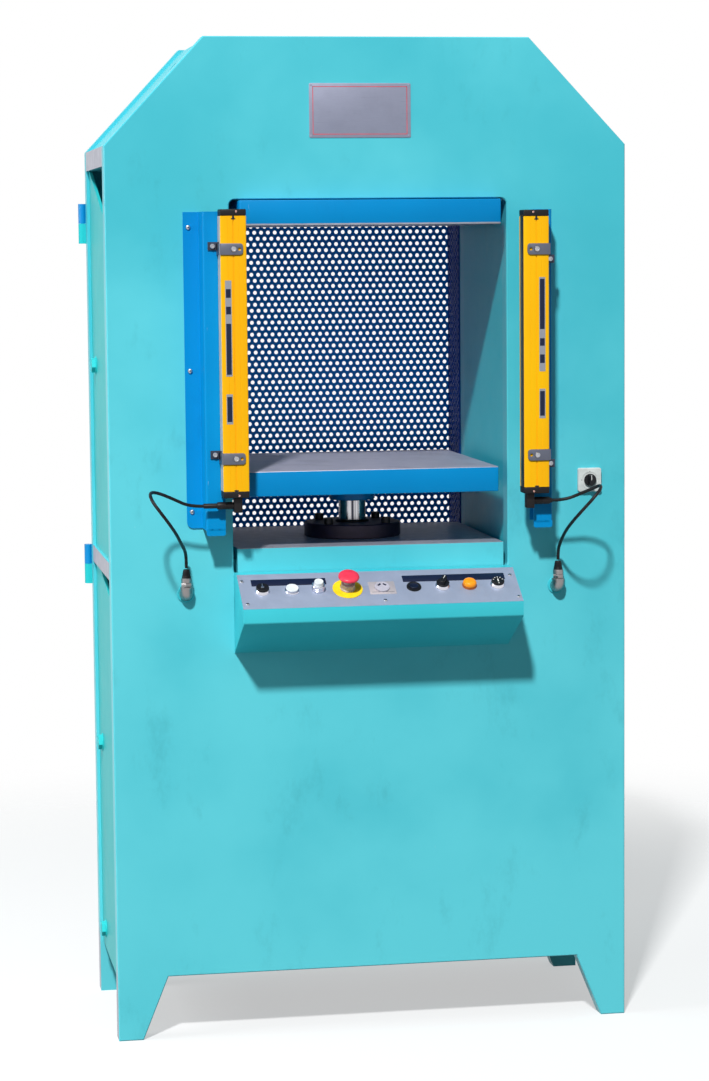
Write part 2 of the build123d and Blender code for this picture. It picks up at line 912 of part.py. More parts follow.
with BuildPart() as stop_head:
    with BuildSketch(fascia_plane.offset(stop_head_bottom)):
        with Locations((stop_x, 0)):
            Circle(stop_head_radius)
    extrude(amount=stop_head_height)
    head_faces = stop_head.faces().sort_by(control_axis)
    fillet(head_faces[-1].edges(), radius=stop_head_height / 2)
    chamfer(head_faces[0].edges(), length=edge_break)
    with BuildSketch(fascia_plane.offset(stop_head_bottom)):
        with Locations((stop_x, 0)):
            Circle(button_radius + running_gap)
    extrude(amount=stop_head_height / 2, mode=Mode.SUBTRACT)
keep(stop_head, "stop_head")

# Selectors, key switch and signal lamp turn or sit in the bezels
knob_plane = fascia_plane.offset(selector_ring_height + seat_gap)
knob_shaft = selector_ring_height + seat_gap + barrel_depth / 2
for x, height, name in (
    (key_x, low_selector_height, "key_knob"),
    (mode_x, knob_height, "mode_selector"),
    (drive_x, low_selector_height, "drive_selector"),
):
    keep(turn_knob(knob_plane, (x, 0), selector_radius, height, button_radius, knob_shaft), name)

with BuildPart() as lamp:
    with BuildSketch(fascia_plane.offset(bezel_height)):
        with Locations((lamp_x, 0)):
            Circle(lamp_radius)
    extrude(amount=lamp_height)
    fillet(lamp.faces().sort_by(control_axis)[-1].edges(), radius=lamp_height * 0.8)
    with BuildSketch(fascia_plane.offset(bezel_height)):
        with Locations((lamp_x, 0)):
            Circle(button_radius)
    extrude(amount=-bezel_height - barrel_depth)
keep(lamp, "signal_lamp")

with BuildPart() as label_plug:
    with BuildSketch(fascia_plane):
        with Locations((plug_x, 0)):
            Rectangle(plug_plate_width, plug_plate_height)
    extrude(amount=legend_thickness)
    with BuildSketch(fascia_plane.offset(legend_thickness)):
        with Locations((plug_x, 0)):
            Circle(plug_radius)
    extrude(amount=plug_height)
keep(label_plug, "label_plug")

# Light curtains: an extruded profile with a lens strip, two end caps and two clamps on each side.
# Each stands on a folded bracket that is screwed to the front plate.
bracket_top = opening_top - bracket_top_drop
curtain_length = bracket_top + curtain_rise - left_curtain_base - 2 * curtain_cap
clip_heights = [clip_lift, curtain_length + 2 * curtain_cap - clip_drop]
bracket_screw_heights = [
    bracket_bottom + bracket_screw_inset,
    (bracket_bottom + bracket_top) / 2,
    bracket_top - bracket_screw_drop,
]
Curtain = namedtuple("Curtain", "name side x base web foot_shift connector sleeve elbow_x elbow_z")
curtains = (
    Curtain(
        "left",
        -1,
        -half_opening - left_curtain_offset,
        left_curtain_base,
        -half_opening - left_web_offset,
        left_foot_shift,
        -half_opening - left_connector_offset,
        left_sleeve,
        -half_opening - left_elbow_offset,
        left_elbow_z,
    ),
    Curtain(
        "right",
        1,
        half_opening + right_curtain_offset,
        right_curtain_base,
        half_opening + right_web_offset,
        right_foot_shift,
        half_opening + right_connector_offset,
        right_sleeve,
        half_opening + right_elbow_offset,
        right_elbow_z,
    ),
)
curtain_rear_y = front_face - curtain_back
curtain_front_y = curtain_rear_y - curtain_depth
curtain_middle_y = (curtain_rear_y + curtain_front_y) / 2
lens_y = curtain_front_y + lens_edge + lens_width / 2

with BuildPart() as profiles:
    for curtain in curtains:
        with BuildSketch(Plane.XY.offset(curtain.base + curtain_cap)):
            with Locations((curtain.x, curtain_middle_y)):
                RectangleRounded(curtain_width, curtain_depth, edge_break)
            with Locations((curtain.x, curtain_front_y)):
                Rectangle(seam_width, 2 * seam_width, mode=Mode.SUBTRACT)
            with Locations((curtain.x - curtain.side * curtain_width / 2, lens_y)):
                Rectangle(2 * lens_thickness, lens_width, mode=Mode.SUBTRACT)
        extrude(amount=curtain_length)
keep(profiles, "curtain_profiles")

with BuildPart() as lenses:
    for curtain in curtains:
        lens_x = curtain.x - curtain.side * (curtain_width - lens_thickness) / 2
        with BuildSketch(Plane.XY.offset(curtain.base + curtain_cap)):
            with Locations((lens_x, lens_y)):
                Rectangle(lens_thickness, lens_width)
        extrude(amount=curtain_length)
keep(lenses, "curtain_lenses")

with BuildPart() as caps:
    for curtain in curtains:
        for cap_bottom in (curtain.base, curtain.base + curtain_cap + curtain_length):
            with BuildSketch(Plane.XY.offset(cap_bottom)):
                with Locations((curtain.x, curtain_middle_y)):
                    RectangleRounded(curtain_width, curtain_depth, 2 * edge_break)
            extrude(amount=curtain_cap)
keep(caps, "curtain_caps")

# The flanges of both brackets point to the left: the left bracket's away from its curtain, the
# right bracket's under it.
bracket_depth = front_face - curtain_rear_y
with BuildPart() as brackets:
    for curtain in curtains:
        tab_x = curtain.web - curtain.side * bracket_tab_width / 2
        with BuildSketch(Plane.XY.offset(bracket_bottom)):
            with Locations((curtain.web - curtain.side * bracket_sheet / 2, front_face - bracket_depth / 2)):
                Rectangle(bracket_sheet, bracket_depth)
            with Locations((curtain.web - bracket_flange / 2, front_face - bracket_sheet / 2)):
                Rectangle(bracket_flange, bracket_sheet)
            with Locations((tab_x, curtain_rear_y + bracket_sheet / 2)):
                Rectangle(bracket_tab_width, bracket_sheet)
        extrude(amount=bracket_top - bracket_bottom)
        with BuildSketch(Plane.XZ.offset(-curtain_rear_y - bracket_sheet)):
            with Locations((tab_x, bracket_bottom)):
                Rectangle(bracket_tab_width, 2 * bracket_tab_drop)
        extrude(amount=bracket_sheet)
    across = brackets.edges().filter_by(Axis.Y)
    fillet(across.group_by(Axis.Z)[0], radius=bracket_tab_corner)
    fillet(across.group_by(Axis.X)[0].sort_by(Axis.Z)[0], radius=bracket_corner)
keep(brackets, "curtain_brackets")

with BuildPart() as clips:
    for curtain in curtains:
        side = curtain.side
        outer_x = curtain.x + side * curtain_width / 2
        side_leg_x = outer_x + side * clip_sheet
        foot_x = side_leg_x + side * clip_foot
        end_x = outer_x - side * clip_reach
        for height in clip_heights:
            clip_middle = curtain.base + height
            with BuildSketch(Plane.XY.offset(clip_middle - clip_height / 2)):
                with BuildLine():
                    Polyline(
                        (end_x, curtain_front_y),
                        (end_x, curtain_front_y - clip_sheet),
                        (side_leg_x, curtain_front_y - clip_sheet),
                        (side_leg_x, curtain_rear_y),
                        (outer_x, curtain_rear_y),
                        (outer_x, curtain_front_y),
                        close=True,
                    )
                make_face()
            extrude(amount=clip_height)
            foot_bottom = clip_middle + curtain.foot_shift - clip_foot_height / 2
            with BuildSketch(Plane.XY.offset(foot_bottom)):
                with BuildLine():
                    Polyline(
                        (outer_x, curtain_rear_y),
                        (outer_x, curtain_rear_y - clip_foot),
                        (side_leg_x, curtain_rear_y - clip_foot),
                        (side_leg_x, curtain_rear_y - clip_sheet),
                        (foot_x, curtain_rear_y - clip_sheet),
                        (foot_x, curtain_rear_y),
                        close=True,
                    )
                make_face()
            extrude(amount=clip_foot_height)
            with BuildSketch(Plane.XZ.offset(-curtain_front_y)):
                with Locations((end_x + side * clip_slot_inset, clip_middle)):
                    Circle(clip_slot_radius)
            extrude(amount=clip_sheet, mode=Mode.SUBTRACT)
keep(clips, "curtain_clips")

# Small screws: clamp bolts, bracket screws and fascia screws
with BuildPart() as screws:
    for curtain in curtains:
        side_leg_x = curtain.x + curtain.side * (curtain_width / 2 + clip_sheet)
        foot_bolt_x = side_leg_x + curtain.side * clip_bolt_inset
        screw_x = curtain.web - bracket_flange * 2 / 3
        for height in clip_heights:
            clip_middle = curtain.base + height
            with BuildSketch(Plane.XZ.offset(-curtain_front_y + clip_sheet)):
                with Locations((curtain.x, clip_middle)):
                    RegularPolygon(clip_bolt_size / 2, 6, major_radius=False)
            extrude(amount=clip_bolt_height)
            with BuildSketch(Plane.XZ.offset(-curtain_rear_y + clip_sheet)):
                with Locations((foot_bolt_x, clip_middle + curtain.foot_shift)):
                    RegularPolygon(clip_bolt_size / 2, 6, major_radius=False)
            extrude(amount=clip_bolt_height)
        with BuildSketch(Plane.XZ.offset(-front_face + bracket_sheet)):
            with Locations([(screw_x, z) for z in bracket_screw_heights]):
                Circle(bracket_screw_radius)
        extrude(amount=bracket_screw_height, taper=15)
    with BuildSketch(fascia_plane):
        with Locations([(side * console_width / 2 + shift, v) for side, shift, v in fascia_screw_shifts]):
            Circle(fascia_screw_radius)
    extrude(amount=fascia_screw_height, taper=20)
keep(screws, "small_screws")

# Curtain cables: a connector under each curtain with a plug that points outwards, the cable, and
# the elbow and boot by which it enters the front plate
connector_y = front_face - connector_setback
elbow_y = front_face - elbow_setback
with BuildPart() as connectors:
    for curtain in curtains:
        plug_z = curtain.base - plug_drop
        plug_start = curtain.connector + curtain.side * connector_width / 2
        plug_end = plug_start + curtain.side * plug_length
        with BuildSketch(Plane.XY.offset(curtain.base)):
            with Locations((curtain.connector, connector_y)):
                RectangleRounded(connector_width, connector_depth, edge_break)
        extrude(amount=-connector_height)
        with BuildSketch(Plane.YZ.offset(plug_start)):
            with Locations((connector_y, plug_z)):
                Circle(plug_body_radius)
        extrude(amount=curtain.side * plug_length)
        with BuildSketch(Plane.YZ.offset(plug_end)):
            with Locations((connector_y, plug_z)):
                Circle(sleeve_radius)
        extrude(amount=curtain.side * curtain.sleeve)
keep(connectors, "curtain_connectors")

with BuildPart() as elbows:
    for curtain in curtains:
        elbow_top = curtain.elbow_z + elbow_rise
        with BuildLine():
            FilletPolyline(
                (curtain.elbow_x, front_face, curtain.elbow_z),
                (curtain.elbow_x, elbow_y, curtain.elbow_z),
                (curtain.elbow_x, elbow_y, elbow_top),
                radius=elbow_bend,
            )
        with BuildSketch(Plane.XZ.offset(-front_face)):
            with Locations((curtain.elbow_x, curtain.elbow_z)):
                Circle(elbow_radius)
        sweep()
        with BuildSketch(Plane.XZ.offset(-front_face)):
            with Locations((curtain.elbow_x, curtain.elbow_z)):
                Circle(elbow_nut_radius)
        extrude(amount=elbow_nut_height)
        with BuildSketch(Plane.XY.offset(elbow_top)):
            with Locations((curtain.elbow_x, elbow_y)):
                Circle(collar_radius)
        extrude(amount=collar_height)
keep(elbows, "cable_elbows")

with BuildPart() as boots:
    for curtain in curtains:
        boot_bottom = curtain.elbow_z + elbow_rise + collar_height
        with BuildSketch(Plane.XY.offset(boot_bottom)):
            with Locations((curtain.elbow_x, elbow_y)):
                Circle(elbow_radius)
        with BuildSketch(Plane.XY.offset(boot_bottom + boot_height)):
            with Locations((curtain.elbow_x, elbow_y)):
                Circle(boot_tip_radius)
        loft()
keep(boots, "cable_boots")

# Places on each cable's way, from where its elbow meets the front plate
cable_routes = {
    "left": [
        (1, -84, 182),
        (-30, -90, 197),
        (-62, -109, 212),
        (-82, -132, 216),
        (-82, -158, 203),
        (-66, -168, 180),
        (-47, -155, 155),
        (-32, -130, 134),
        (-21, -100, 116),
        (-12, -68, 102),
        (-4, -39, 89),
        (0, -20, 75),
    ],
    "right": [
        (-2, -84, 181),
        (25, -92, 192),
        (47, -110, 204),
        (60, -133, 214),
        (53, -157, 207),
        (34, -166, 188),
        (16, -154, 165),
        (4, -129, 143),
        (-2, -99, 123),
        (-3, -68, 104),
        (-1, -39, 88),
        (0, -20, 73),
    ],
}
for curtain in curtains:
    reach = connector_width / 2 + plug_length + curtain.sleeve
    start_x = curtain.connector + curtain.side * reach
    start_z = curtain.base - plug_drop
    end_z = curtain.elbow_z + elbow_rise + collar_height + boot_height
    route = [Vector(start_x, connector_y, start_z)]
    elbow_foot = Vector(curtain.elbow_x, front_face, curtain.elbow_z)
    route += [elbow_foot + Vector(*place) for place in cable_routes[curtain.name]]
    route.append(Vector(curtain.elbow_x, elbow_y, end_z))
    runs = [end - start for start, end in zip(route, route[1:])]
    radii = []
    for before, after in zip(runs, runs[1:]):
        half_turn = math.radians(before.get_angle(after)) / 2
        radii.append(0.45 * min(before.length, after.length) / math.tan(half_turn))
    with BuildPart() as cable:
        with BuildLine() as path:
            FilletPolyline(*route, radius=radii)
        with BuildSketch(Plane.YZ.offset(start_x)):
            with Locations((connector_y, start_z)):
                Circle(cable_radius)
        sweep()
    keep(cable, f"{curtain.name}_cable")
    length = path.wires()[0].length
    section = math.pi * cable_radius**2
    print(curtain.name, "cable length", round(length, 1))
    print("volume over section times length", round(cable.part.volume / section / length, 4))
    print("bend radii in diameters", [round(radius / cable_radius / 2, 1) for radius in radii])

# Hydraulic unit in the base: a shelf between the covers, the oil tank with its valve block,
# and the motor with its bell and pump
shelf_top = leg_height + shelf_thickness
with BuildPart() as shelf:
    with BuildSketch(Plane.XY.offset(leg_height)):
        with Locations((0, middle)):
            Rectangle(2 * cover_inner_x, bay_depth)
    extrude(amount=shelf_thickness)
keep(shelf, "unit_shelf")

tank_width = cover_inner_x - tank_side_gap - tank_ram_gap
tank_x = -tank_ram_gap - tank_width / 2
tank_depth = bay_depth - 2 * tank_end_gap
tank_top = shelf_top + tank_height
with BuildPart() as tank:
    with BuildSketch(Plane.XY.offset(shelf_top)):
        with Locations((tank_x, middle)):
            RectangleRounded(tank_width, tank_depth, tank_corner)
    extrude(amount=tank_height)
keep(tank, "oil_tank")

valve_top = tank_top + valve_block_width
with BuildPart() as valve_block:
    with BuildSketch(Plane.XY.offset(tank_top)):
        with Locations((tank_x, middle)):
            Rectangle(valve_block_width, valve_block_width)
    extrude(amount=valve_block_width)
    chamfer(valve_block.edges(), length=edge_break)
keep(valve_block, "valve_block")

motor_x = cover_inner_x - motor_side_gap - motor_radius
motor_length = bay_depth - 2 * drive_end_gap - bell_length - pump_length
drive_z = shelf_top + motor_lift + motor_radius
drive_back = middle + (motor_length + bell_length + pump_length) / 2
bell_back = drive_back - motor_length
pump_back = bell_back - bell_length
with BuildPart() as pump_unit:
    with BuildSketch(Plane.XZ.offset(-drive_back)):
        with Locations((motor_x, drive_z)):
            Circle(motor_radius)
    extrude(amount=motor_length)
    chamfer(pump_unit.edges().filter_by(GeomType.CIRCLE), length=4 * edge_break)
    with BuildSketch(Plane.XZ.offset(-bell_back)):
        with Locations((motor_x, drive_z)):
            Circle(bell_radius)
    with BuildSketch(Plane.XZ.offset(-pump_back)):
        with Locations((motor_x, drive_z)):
            Circle(pump_radius)
    loft()
    with BuildSketch(Plane.XZ.offset(-pump_back)):
        with Locations((motor_x, drive_z)):
            Circle(pump_radius)
    extrude(amount=pump_length)
    with BuildSketch(Plane.XY.offset(shelf_top)):
        with Locations((motor_x, drive_back - motor_length / 2)):
            with GridLocations(motor_radius, 0, 2, 1):
                Rectangle(motor_radius / 2, motor_length / 2)
    extrude(amount=motor_lift + motor_radius / 2)
keep(pump_unit, "pump_unit")

# Pressure pipe from the valve block over to the port on the cylinder's cap
pipe_top = valve_top + pipe_rise
with BuildPart() as pipe:
    with BuildLine():
        FilletPolyline(
            (tank_x, middle, valve_top),
            (tank_x, middle, pipe_top),
            (port_x - pipe_offset, middle, pipe_top),
            (port_x - pipe_offset, middle, port_z),
            (port_x, middle, port_z),
            radius=pipe_bend,
        )
    with BuildSketch(Plane.XY.offset(valve_top)):
        with Locations((tank_x, middle)):
            Circle(pipe_radius)
    sweep()
keep(pipe, "pressure_pipe")
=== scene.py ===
import math

import bmesh
import bpy
from mathutils import Matrix, Vector


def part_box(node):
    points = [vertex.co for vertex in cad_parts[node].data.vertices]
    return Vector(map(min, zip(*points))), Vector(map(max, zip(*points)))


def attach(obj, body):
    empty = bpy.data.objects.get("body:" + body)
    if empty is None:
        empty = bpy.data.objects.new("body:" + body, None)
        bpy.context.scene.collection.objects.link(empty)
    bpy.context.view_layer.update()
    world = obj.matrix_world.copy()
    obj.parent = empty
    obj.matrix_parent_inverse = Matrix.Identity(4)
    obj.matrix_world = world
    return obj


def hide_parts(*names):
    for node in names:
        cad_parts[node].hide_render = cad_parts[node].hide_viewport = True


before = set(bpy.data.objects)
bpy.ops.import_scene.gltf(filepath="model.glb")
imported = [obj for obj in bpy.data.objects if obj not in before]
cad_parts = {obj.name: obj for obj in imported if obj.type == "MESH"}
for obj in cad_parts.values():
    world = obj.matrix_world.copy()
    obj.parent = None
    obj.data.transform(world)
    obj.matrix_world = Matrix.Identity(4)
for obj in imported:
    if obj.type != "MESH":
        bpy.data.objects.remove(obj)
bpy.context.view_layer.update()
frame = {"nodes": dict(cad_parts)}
nodes = frame["nodes"]

# Camera: it stands to the left of the press at head height and looks slightly down.
def at(x, y, z):
    """A place, as a matrix."""
    return Matrix.Translation((x, y, z))


def stand(name, data):
    """Puts a new object into the scene."""
    thing = bpy.data.objects.new(name, data)
    bpy.context.collection.objects.link(thing)
    return thing


turn_right, tilt, lean = math.radians(9.941), math.radians(-5.828), math.radians(-0.525)
camera = stand("camera", bpy.data.cameras.new("camera"))
camera.data.sensor_fit = "VERTICAL"
camera.data.sensor_height = 36
camera.data.lens = 96.32
camera.matrix_world = (
    at(-1.0316, -5.9022, 1.5902)
    @ Matrix.Rotation(-turn_right, 4, "Z")
    @ Matrix.Rotation(math.pi / 2 + tilt, 4, "X")
    @ Matrix.Rotation(lean, 4, "Z")
)
bpy.context.scene.camera = camera
bpy.context.scene.view_settings.view_transform = "Standard"


# Curtain cables: limp black hose of 6.5 mm. Each leaves its plug outwards, loops forward and hangs
# down into the boot of its elbow.
def maths(operation):
    """An operator that adds a Math node."""

    def operator(self, other=0.0):
        return self.nodes.add("Math", {0: self, 1: other}, operation=operation)

    return operator


class Wire:
    """A shader value. Plain arithmetic on it adds Math nodes."""

    def __init__(self, nodes, socket):
        self.nodes = nodes
        self.socket = socket

    __add__ = __radd__ = maths("ADD")
    __sub__ = maths("SUBTRACT")
    __mul__ = maths("MULTIPLY")
    __gt__ = maths("GREATER_THAN")
    __lt__ = maths("LESS_THAN")
    __or__ = maths("MAXIMUM")
    __and__ = maths("MINIMUM")
    __abs__ = maths("ABSOLUTE")


class Nodes:
    """The shader nodes of a material or of the surround."""

    def __init__(self, owner):
        owner.use_nodes = True
        self.tree = owner.node_tree

    def add(self, kind, sockets=(), output=0, **settings):
        """Adds a node, sets it, feeds its sockets with values or wires and returns one output."""
        node = self.tree.nodes.new("ShaderNode" + kind)
        for key, value in settings.items():
            setattr(node, key, value)
        for key, value in dict(sockets).items():
            if isinstance(value, Wire):
                self.tree.links.new(value.socket, node.inputs[key])
            else:
                node.inputs[key].default_value = value
        return Wire(self, node.outputs[output])

    def blend(self, share, first, second):
        """A shader between two."""
        return self.add("MixShader", {0: share, 1: first, 2: second})

    def seen_directly(self):
        """1 where the camera sees a thing itself or in polished metal, 0 for the light it gives."""
        rays = ("Is Camera Ray", "Is Glossy Ray", "Is Transmission Ray")
        by_camera, in_metal, through = [self.add("LightPath", output=ray) for ray in rays]
        return by_camera | in_metal | through

    def show(self, shader, end):
        """Makes a shader the one that is seen."""
        self.tree.links.new(shader.socket, self.tree.nodes[end].inputs["Surface"])


class Finish(Nodes):
    """A material, with its patterns sized in metres on the object itself."""

    def __init__(self, name, **constants):
        self.material = bpy.data.materials.new(name)
        super().__init__(self.material)
        self.shader = self.tree.nodes["Principled BSDF"]
        for socket, value in constants.items():
            self.shader.inputs[socket.replace("_", " ")].default_value = value

    def spot(self, output="Object"):
        """The place on the object, or the surface's direction there."""
        return self.add("TexCoord", output=output)

    def axes(self, output="Object"):
        """The three coordinates of a spot."""
        vector = self.spot(output)
        return [self.add("SeparateXYZ", {0: vector}, i) for i in range(3)]

    def noise(self, size, stretch=(1, 1, 1), detail=2.0, rough=0.5, shift=0.0):
        """Noise whose features have the given size, stretched along the axes."""
        scale = [1 / size / s for s in stretch]
        place = self.add("Mapping", {0: self.spot(), 1: (shift, shift, shift), 3: scale})
        return self.add("TexNoise", {0: place, 2: 1.0, 3: detail, 4: rough})

    def ease(self, value, low, high):
        """0 below low, 1 above high and smooth between."""
        sockets = {0: value, 1: low, 2: high}
        return self.add("MapRange", sockets, interpolation_type="SMOOTHSTEP")

    def mix(self, share, first, second):
        """A colour between two, each a tuple or a wire."""
        first, second = [c if isinstance(c, Wire) else (*c, 1) for c in (first, second)]
        return self.add("Mix", {0: share, 6: first, 7: second}, 2, data_type="RGBA")

    def feed(self, **sockets):
        """Links wires to the shader: the colour, roughness and the like."""
        for key, value in sockets.items():
            self.tree.links.new(value.socket, self.shader.inputs[key.replace("_", " ")])
        return self

    def look(self, paint, rough, height, depth, strength):
        """Colours and roughens the surface, and raises it by a height of 0 to 1 times a depth."""
        bump = self.add("Bump", {0: strength, 1: depth, "Height": height})
        return self.feed(Base_Color=paint, Roughness=rough, Normal=bump)


def colour(red, green, blue):
    """A colour as it looks on a screen, 0 to 255, as the shader wants it."""
    parts = [value / 255 for value in (red, green, blue)]
    return tuple(v / 12.92 if v < 0.04045 else ((v + 0.055) / 1.055) ** 2.4 for v in parts)


def dim(tone, share):
    """A darker tone."""
    return tuple(value * share for value in tone)


def rubber(name, tone, roughness):
    """Moulded rubber or soft plastic with a fine grain and dusty patches."""
    finish = Finish(name, Specular_IOR_Level=0.2)
    dust = finish.noise(0.02, detail=4)
    dusty = finish.ease(dust, 0.45, 0.75) * 0.25
    paint = finish.mix(dusty, colour(*tone), colour(58, 58, 62))
    return finish.look(paint, roughness + dust * 0.2, finish.noise(0.0006), 0.00012, 0.6)


cable_rubber = rubber("cable_rubber", (10, 10, 13), 0.34)
cable_width = 0.0065
cables = {
    ("left", 0.4041): [
        (-0.349, -0.299, 1.085), (-0.376, -0.299, 1.085), (-0.407, -0.305, 1.1),
        (-0.439, -0.324, 1.115), (-0.459, -0.347, 1.119), (-0.459, -0.373, 1.106),
        (-0.443, -0.383, 1.083), (-0.424, -0.37, 1.058), (-0.409, -0.345, 1.037),
        (-0.398, -0.315, 1.019), (-0.389, -0.283, 1.005), (-0.381, -0.254, 0.992),
        (-0.377, -0.235, 0.978), (-0.377, -0.235, 0.957),
    ],
    ("right", 0.3785): [
        (0.352, -0.299, 1.08), (0.378, -0.299, 1.08), (0.405, -0.307, 1.091),
        (0.427, -0.325, 1.103), (0.44, -0.348, 1.113), (0.433, -0.372, 1.106),
        (0.414, -0.381, 1.087), (0.396, -0.369, 1.064), (0.384, -0.344, 1.042),
        (0.378, -0.314, 1.022), (0.377, -0.283, 1.003), (0.379, -0.254, 0.987),
        (0.38, -0.235, 0.972), (0.38, -0.235, 0.953),
    ],
}
for (side, length), route in cables.items():
    line = bpy.data.curves.new(side + "_curtain_cable", "CURVE")
    line.dimensions = "3D"
    line.bevel_depth = cable_width / 2
    line.bevel_resolution = 5
    line.resolution_u = 10
    spline = line.splines.new("NURBS")
    spline.points.add(len(route) - 1)
    for point, place in zip(spline.points, route):
        point.co = (*place, 1)
    spline.order_u = 3
    spline.use_endpoint_u = True
    line.materials.append(cable_rubber.material)
    cable = stand(side + "_curtain_cable", line)
    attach(cable, "frame")
    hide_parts(side + "_cable")


# Frame: two thick plates cut from steel, joined by the crosshead and the bolster, all brushed over
# with semi-gloss turquoise enamel. The cut ends of the cross plates and the legs' edges are bare.
def steel_tone(finish):
    """Bare mill steel: grey with darker clouds."""
    clouds = finish.noise(0.03, detail=6, rough=0.66)
    return finish.mix(clouds, colour(128, 128, 142), colour(190, 190, 200))


def enamel(name, tone, deep, bare=None, gloss=0.22):
    """Brushed enamel with a slight peel, scuffs and grime, and bare metal where a rule says so. Its
    tone turns darker towards the top, which is painted shade.
    """
    finish = Finish(name, Coat_Roughness=0.12, Coat_Weight=gloss * 0.4, Specular_IOR_Level=gloss)
    clouds = finish.noise(0.35, detail=4)
    peel = finish.noise(0.004, detail=1)
    patches = finish.noise(0.05, detail=5, rough=0.65, shift=3)
    scuff = finish.ease(finish.noise(0.012, (1, 1, 4), 6, 0.7, 7), 0.7, 0.78) * 0.3
    grime = finish.ease(finish.noise(0.09, (1, 1, 2), 6, 0.7, 11), 0.56, 0.78) * 0.22
    high = finish.axes()[2]
    deep = colour(*deep)
    # Painted shade: the paint runs to its deep tone towards the top.
    paint = finish.mix(finish.ease(clouds - high * 0.25, -0.1, 0.5), deep, colour(*tone))
    paint = finish.mix(grime, paint, dim(deep, 0.45))
    paint = finish.mix(scuff, paint, colour(214, 226, 228))
    rough = 0.34 + patches * 0.14
    height = peel * 0.5
    if bare:
        metal = bare(finish, patches)
        paint = finish.mix(metal, paint, steel_tone(finish))
        finish.feed(Metallic=metal * 0.5)
        rough = rough + metal * 0.12
        height = height - metal * 0.6
    return finish.look(paint, rough, height, 0.0003, 0.35)


def bare_ends(finish, patches):
    """The faces at both ends of a cross plate."""
    x = abs(finish.axes()[0])
    return finish.ease(x + patches * 0.0008, 0.5245, 0.5249)


def bare_leg_edges(finish, patches):
    """The outward edges of the legs near the floor, ending in a ragged line."""
    x, y, z = finish.axes()
    outward = finish.ease(abs(finish.axes("Normal")[0]), 0.9, 0.99)
    return outward * finish.ease(z + patches * 0.08, 0.2, 0.14) * (abs(x) > 0.5)


def dress(finish, *names):
    """Gives a finish to parts that keep their own shape."""
    for name in names:
        for place in nodes[name].material_slots:
            place.material = finish.material


turquoise = (96, 206, 217), (68, 184, 198)
dress(enamel("turquoise_plate", *turquoise, bare_leg_edges), "front_plate", "rear_plate")
dress(enamel("turquoise_cross_plate", *turquoise, bare_ends), "crosshead_plate", "bolster_plate")
# The sheet parts' copy of the enamel has less red: painted shade, tinting the shaded walls and the
# console's underside.
turquoise_sheet_shaded = enamel("turquoise_sheet_shaded", (70, 201, 212), (50, 188, 202), gloss=0.15)
dress(turquoise_sheet_shaded, "crown_cover", "inner_walls", "head_ribs")
# The side covers' copy of the enamel is greener and darker: painted shade for faces that get less
# light and sheen than the front.
turquoise_side_shaded = enamel("turquoise_side_shaded", (50, 196, 198), (40, 184, 188), gloss=0.05)
dress(turquoise_side_shaded, "side_covers", "hinge_knuckles")


# Cover bolts: hexagon heads with a turned face and a washer, painted over with the side covers.
def merge(form, part, place, coat):
    """Puts a finished shape at its place in a piece, with the number of its coat."""
    bmesh.ops.recalc_face_normals(part, faces=part.faces)
    part.transform(place)
    for face in part.faces:
        face.material_index = coat
    mesh = bpy.data.meshes.new("shape")
    part.to_mesh(mesh)
    part.free()
    form.from_mesh(mesh)
    bpy.data.meshes.remove(mesh)


def soften(part, what, width, steps=2, affect="EDGES"):
    """Rounds edges, or the corners of an outline, by a width."""
    how = {"affect": affect, "offset_type": "OFFSET", "clamp_overlap": affect == "EDGES"}
    bmesh.ops.bevel(part, geom=what, offset=width, segments=steps, profile=0.5, material=-1, **how)


def trace(part, points, closed=True):
    """Draws an outline of points and returns its points and edges."""
    spots = [part.verts.new(point) for point in points]
    ends = spots[1:] + spots[:1] * closed
    return spots, [part.edges.new(pair) for pair in zip(spots, ends)]


def corners_of(items):
    """The corner points among points, edges and faces."""
    return [item for item in items if isinstance(item, bmesh.types.BMVert)]


def prism(form, place, outline, depth, corner=0, edge=0, steps=2, coat=0, holes=(), both=False):
    """An outline carried upwards by a depth, with round holes (x, y, radius). Its corners are
    rounded, all alike or each by its own radius, and its top edges are broken, or both ends'."""
    part = bmesh.new()
    spots, edges = trace(part, [(x, y, 0) for x, y in outline])
    radii = corner if isinstance(corner, (list, tuple)) else [corner] * len(outline)
    for radius in sorted({value for value in radii if value}):
        corners = [spot for spot, value in zip(spots, radii) if value == radius]
        soften(part, corners, radius, 5, "VERTICES")
    for x, y, radius in holes:
        bmesh.ops.create_circle(part, segments=24, radius=radius, matrix=at(x, y, 0))
    if holes:
        bmesh.ops.triangle_fill(part, use_beauty=True, edges=part.edges[:])
    else:
        bmesh.ops.edgeloop_fill(part, edges=part.edges[:])
    grown = bmesh.ops.extrude_face_region(part, geom=part.faces[:])["geom"]
    bmesh.ops.translate(part, verts=corners_of(grown), vec=(0, 0, depth))
    part.normal_update()
    if edge:
        low_end = -1 if both else depth / 2
        rims = []
        for item in part.edges:
            flat = [abs(face.normal.z) > 0.5 for face in item.link_faces]
            high = min(spot.co.z for spot in item.verts)
            if any(flat) and not all(flat) and high > low_end:
                rims.append(item)
        soften(part, rims, edge, steps)
    merge(form, part, place, coat)


def turned(form, place, profile, steps=40, coat=0):
    """A profile of (radius, height) points turned round the upright axis."""
    part = bmesh.new()
    spots, edges = trace(part, [(radius, 0, height) for radius, height in profile], False)
    geometry, middle = spots + edges, (0, 0, 0)
    whole = {"axis": (0, 0, 1), "angle": math.tau, "use_merge": True}
    bmesh.ops.spin(part, geom=geometry, cent=middle, steps=steps, **whole)
    bmesh.ops.remove_doubles(part, verts=part.verts, dist=1e-6)
    merge(form, part, place, coat)


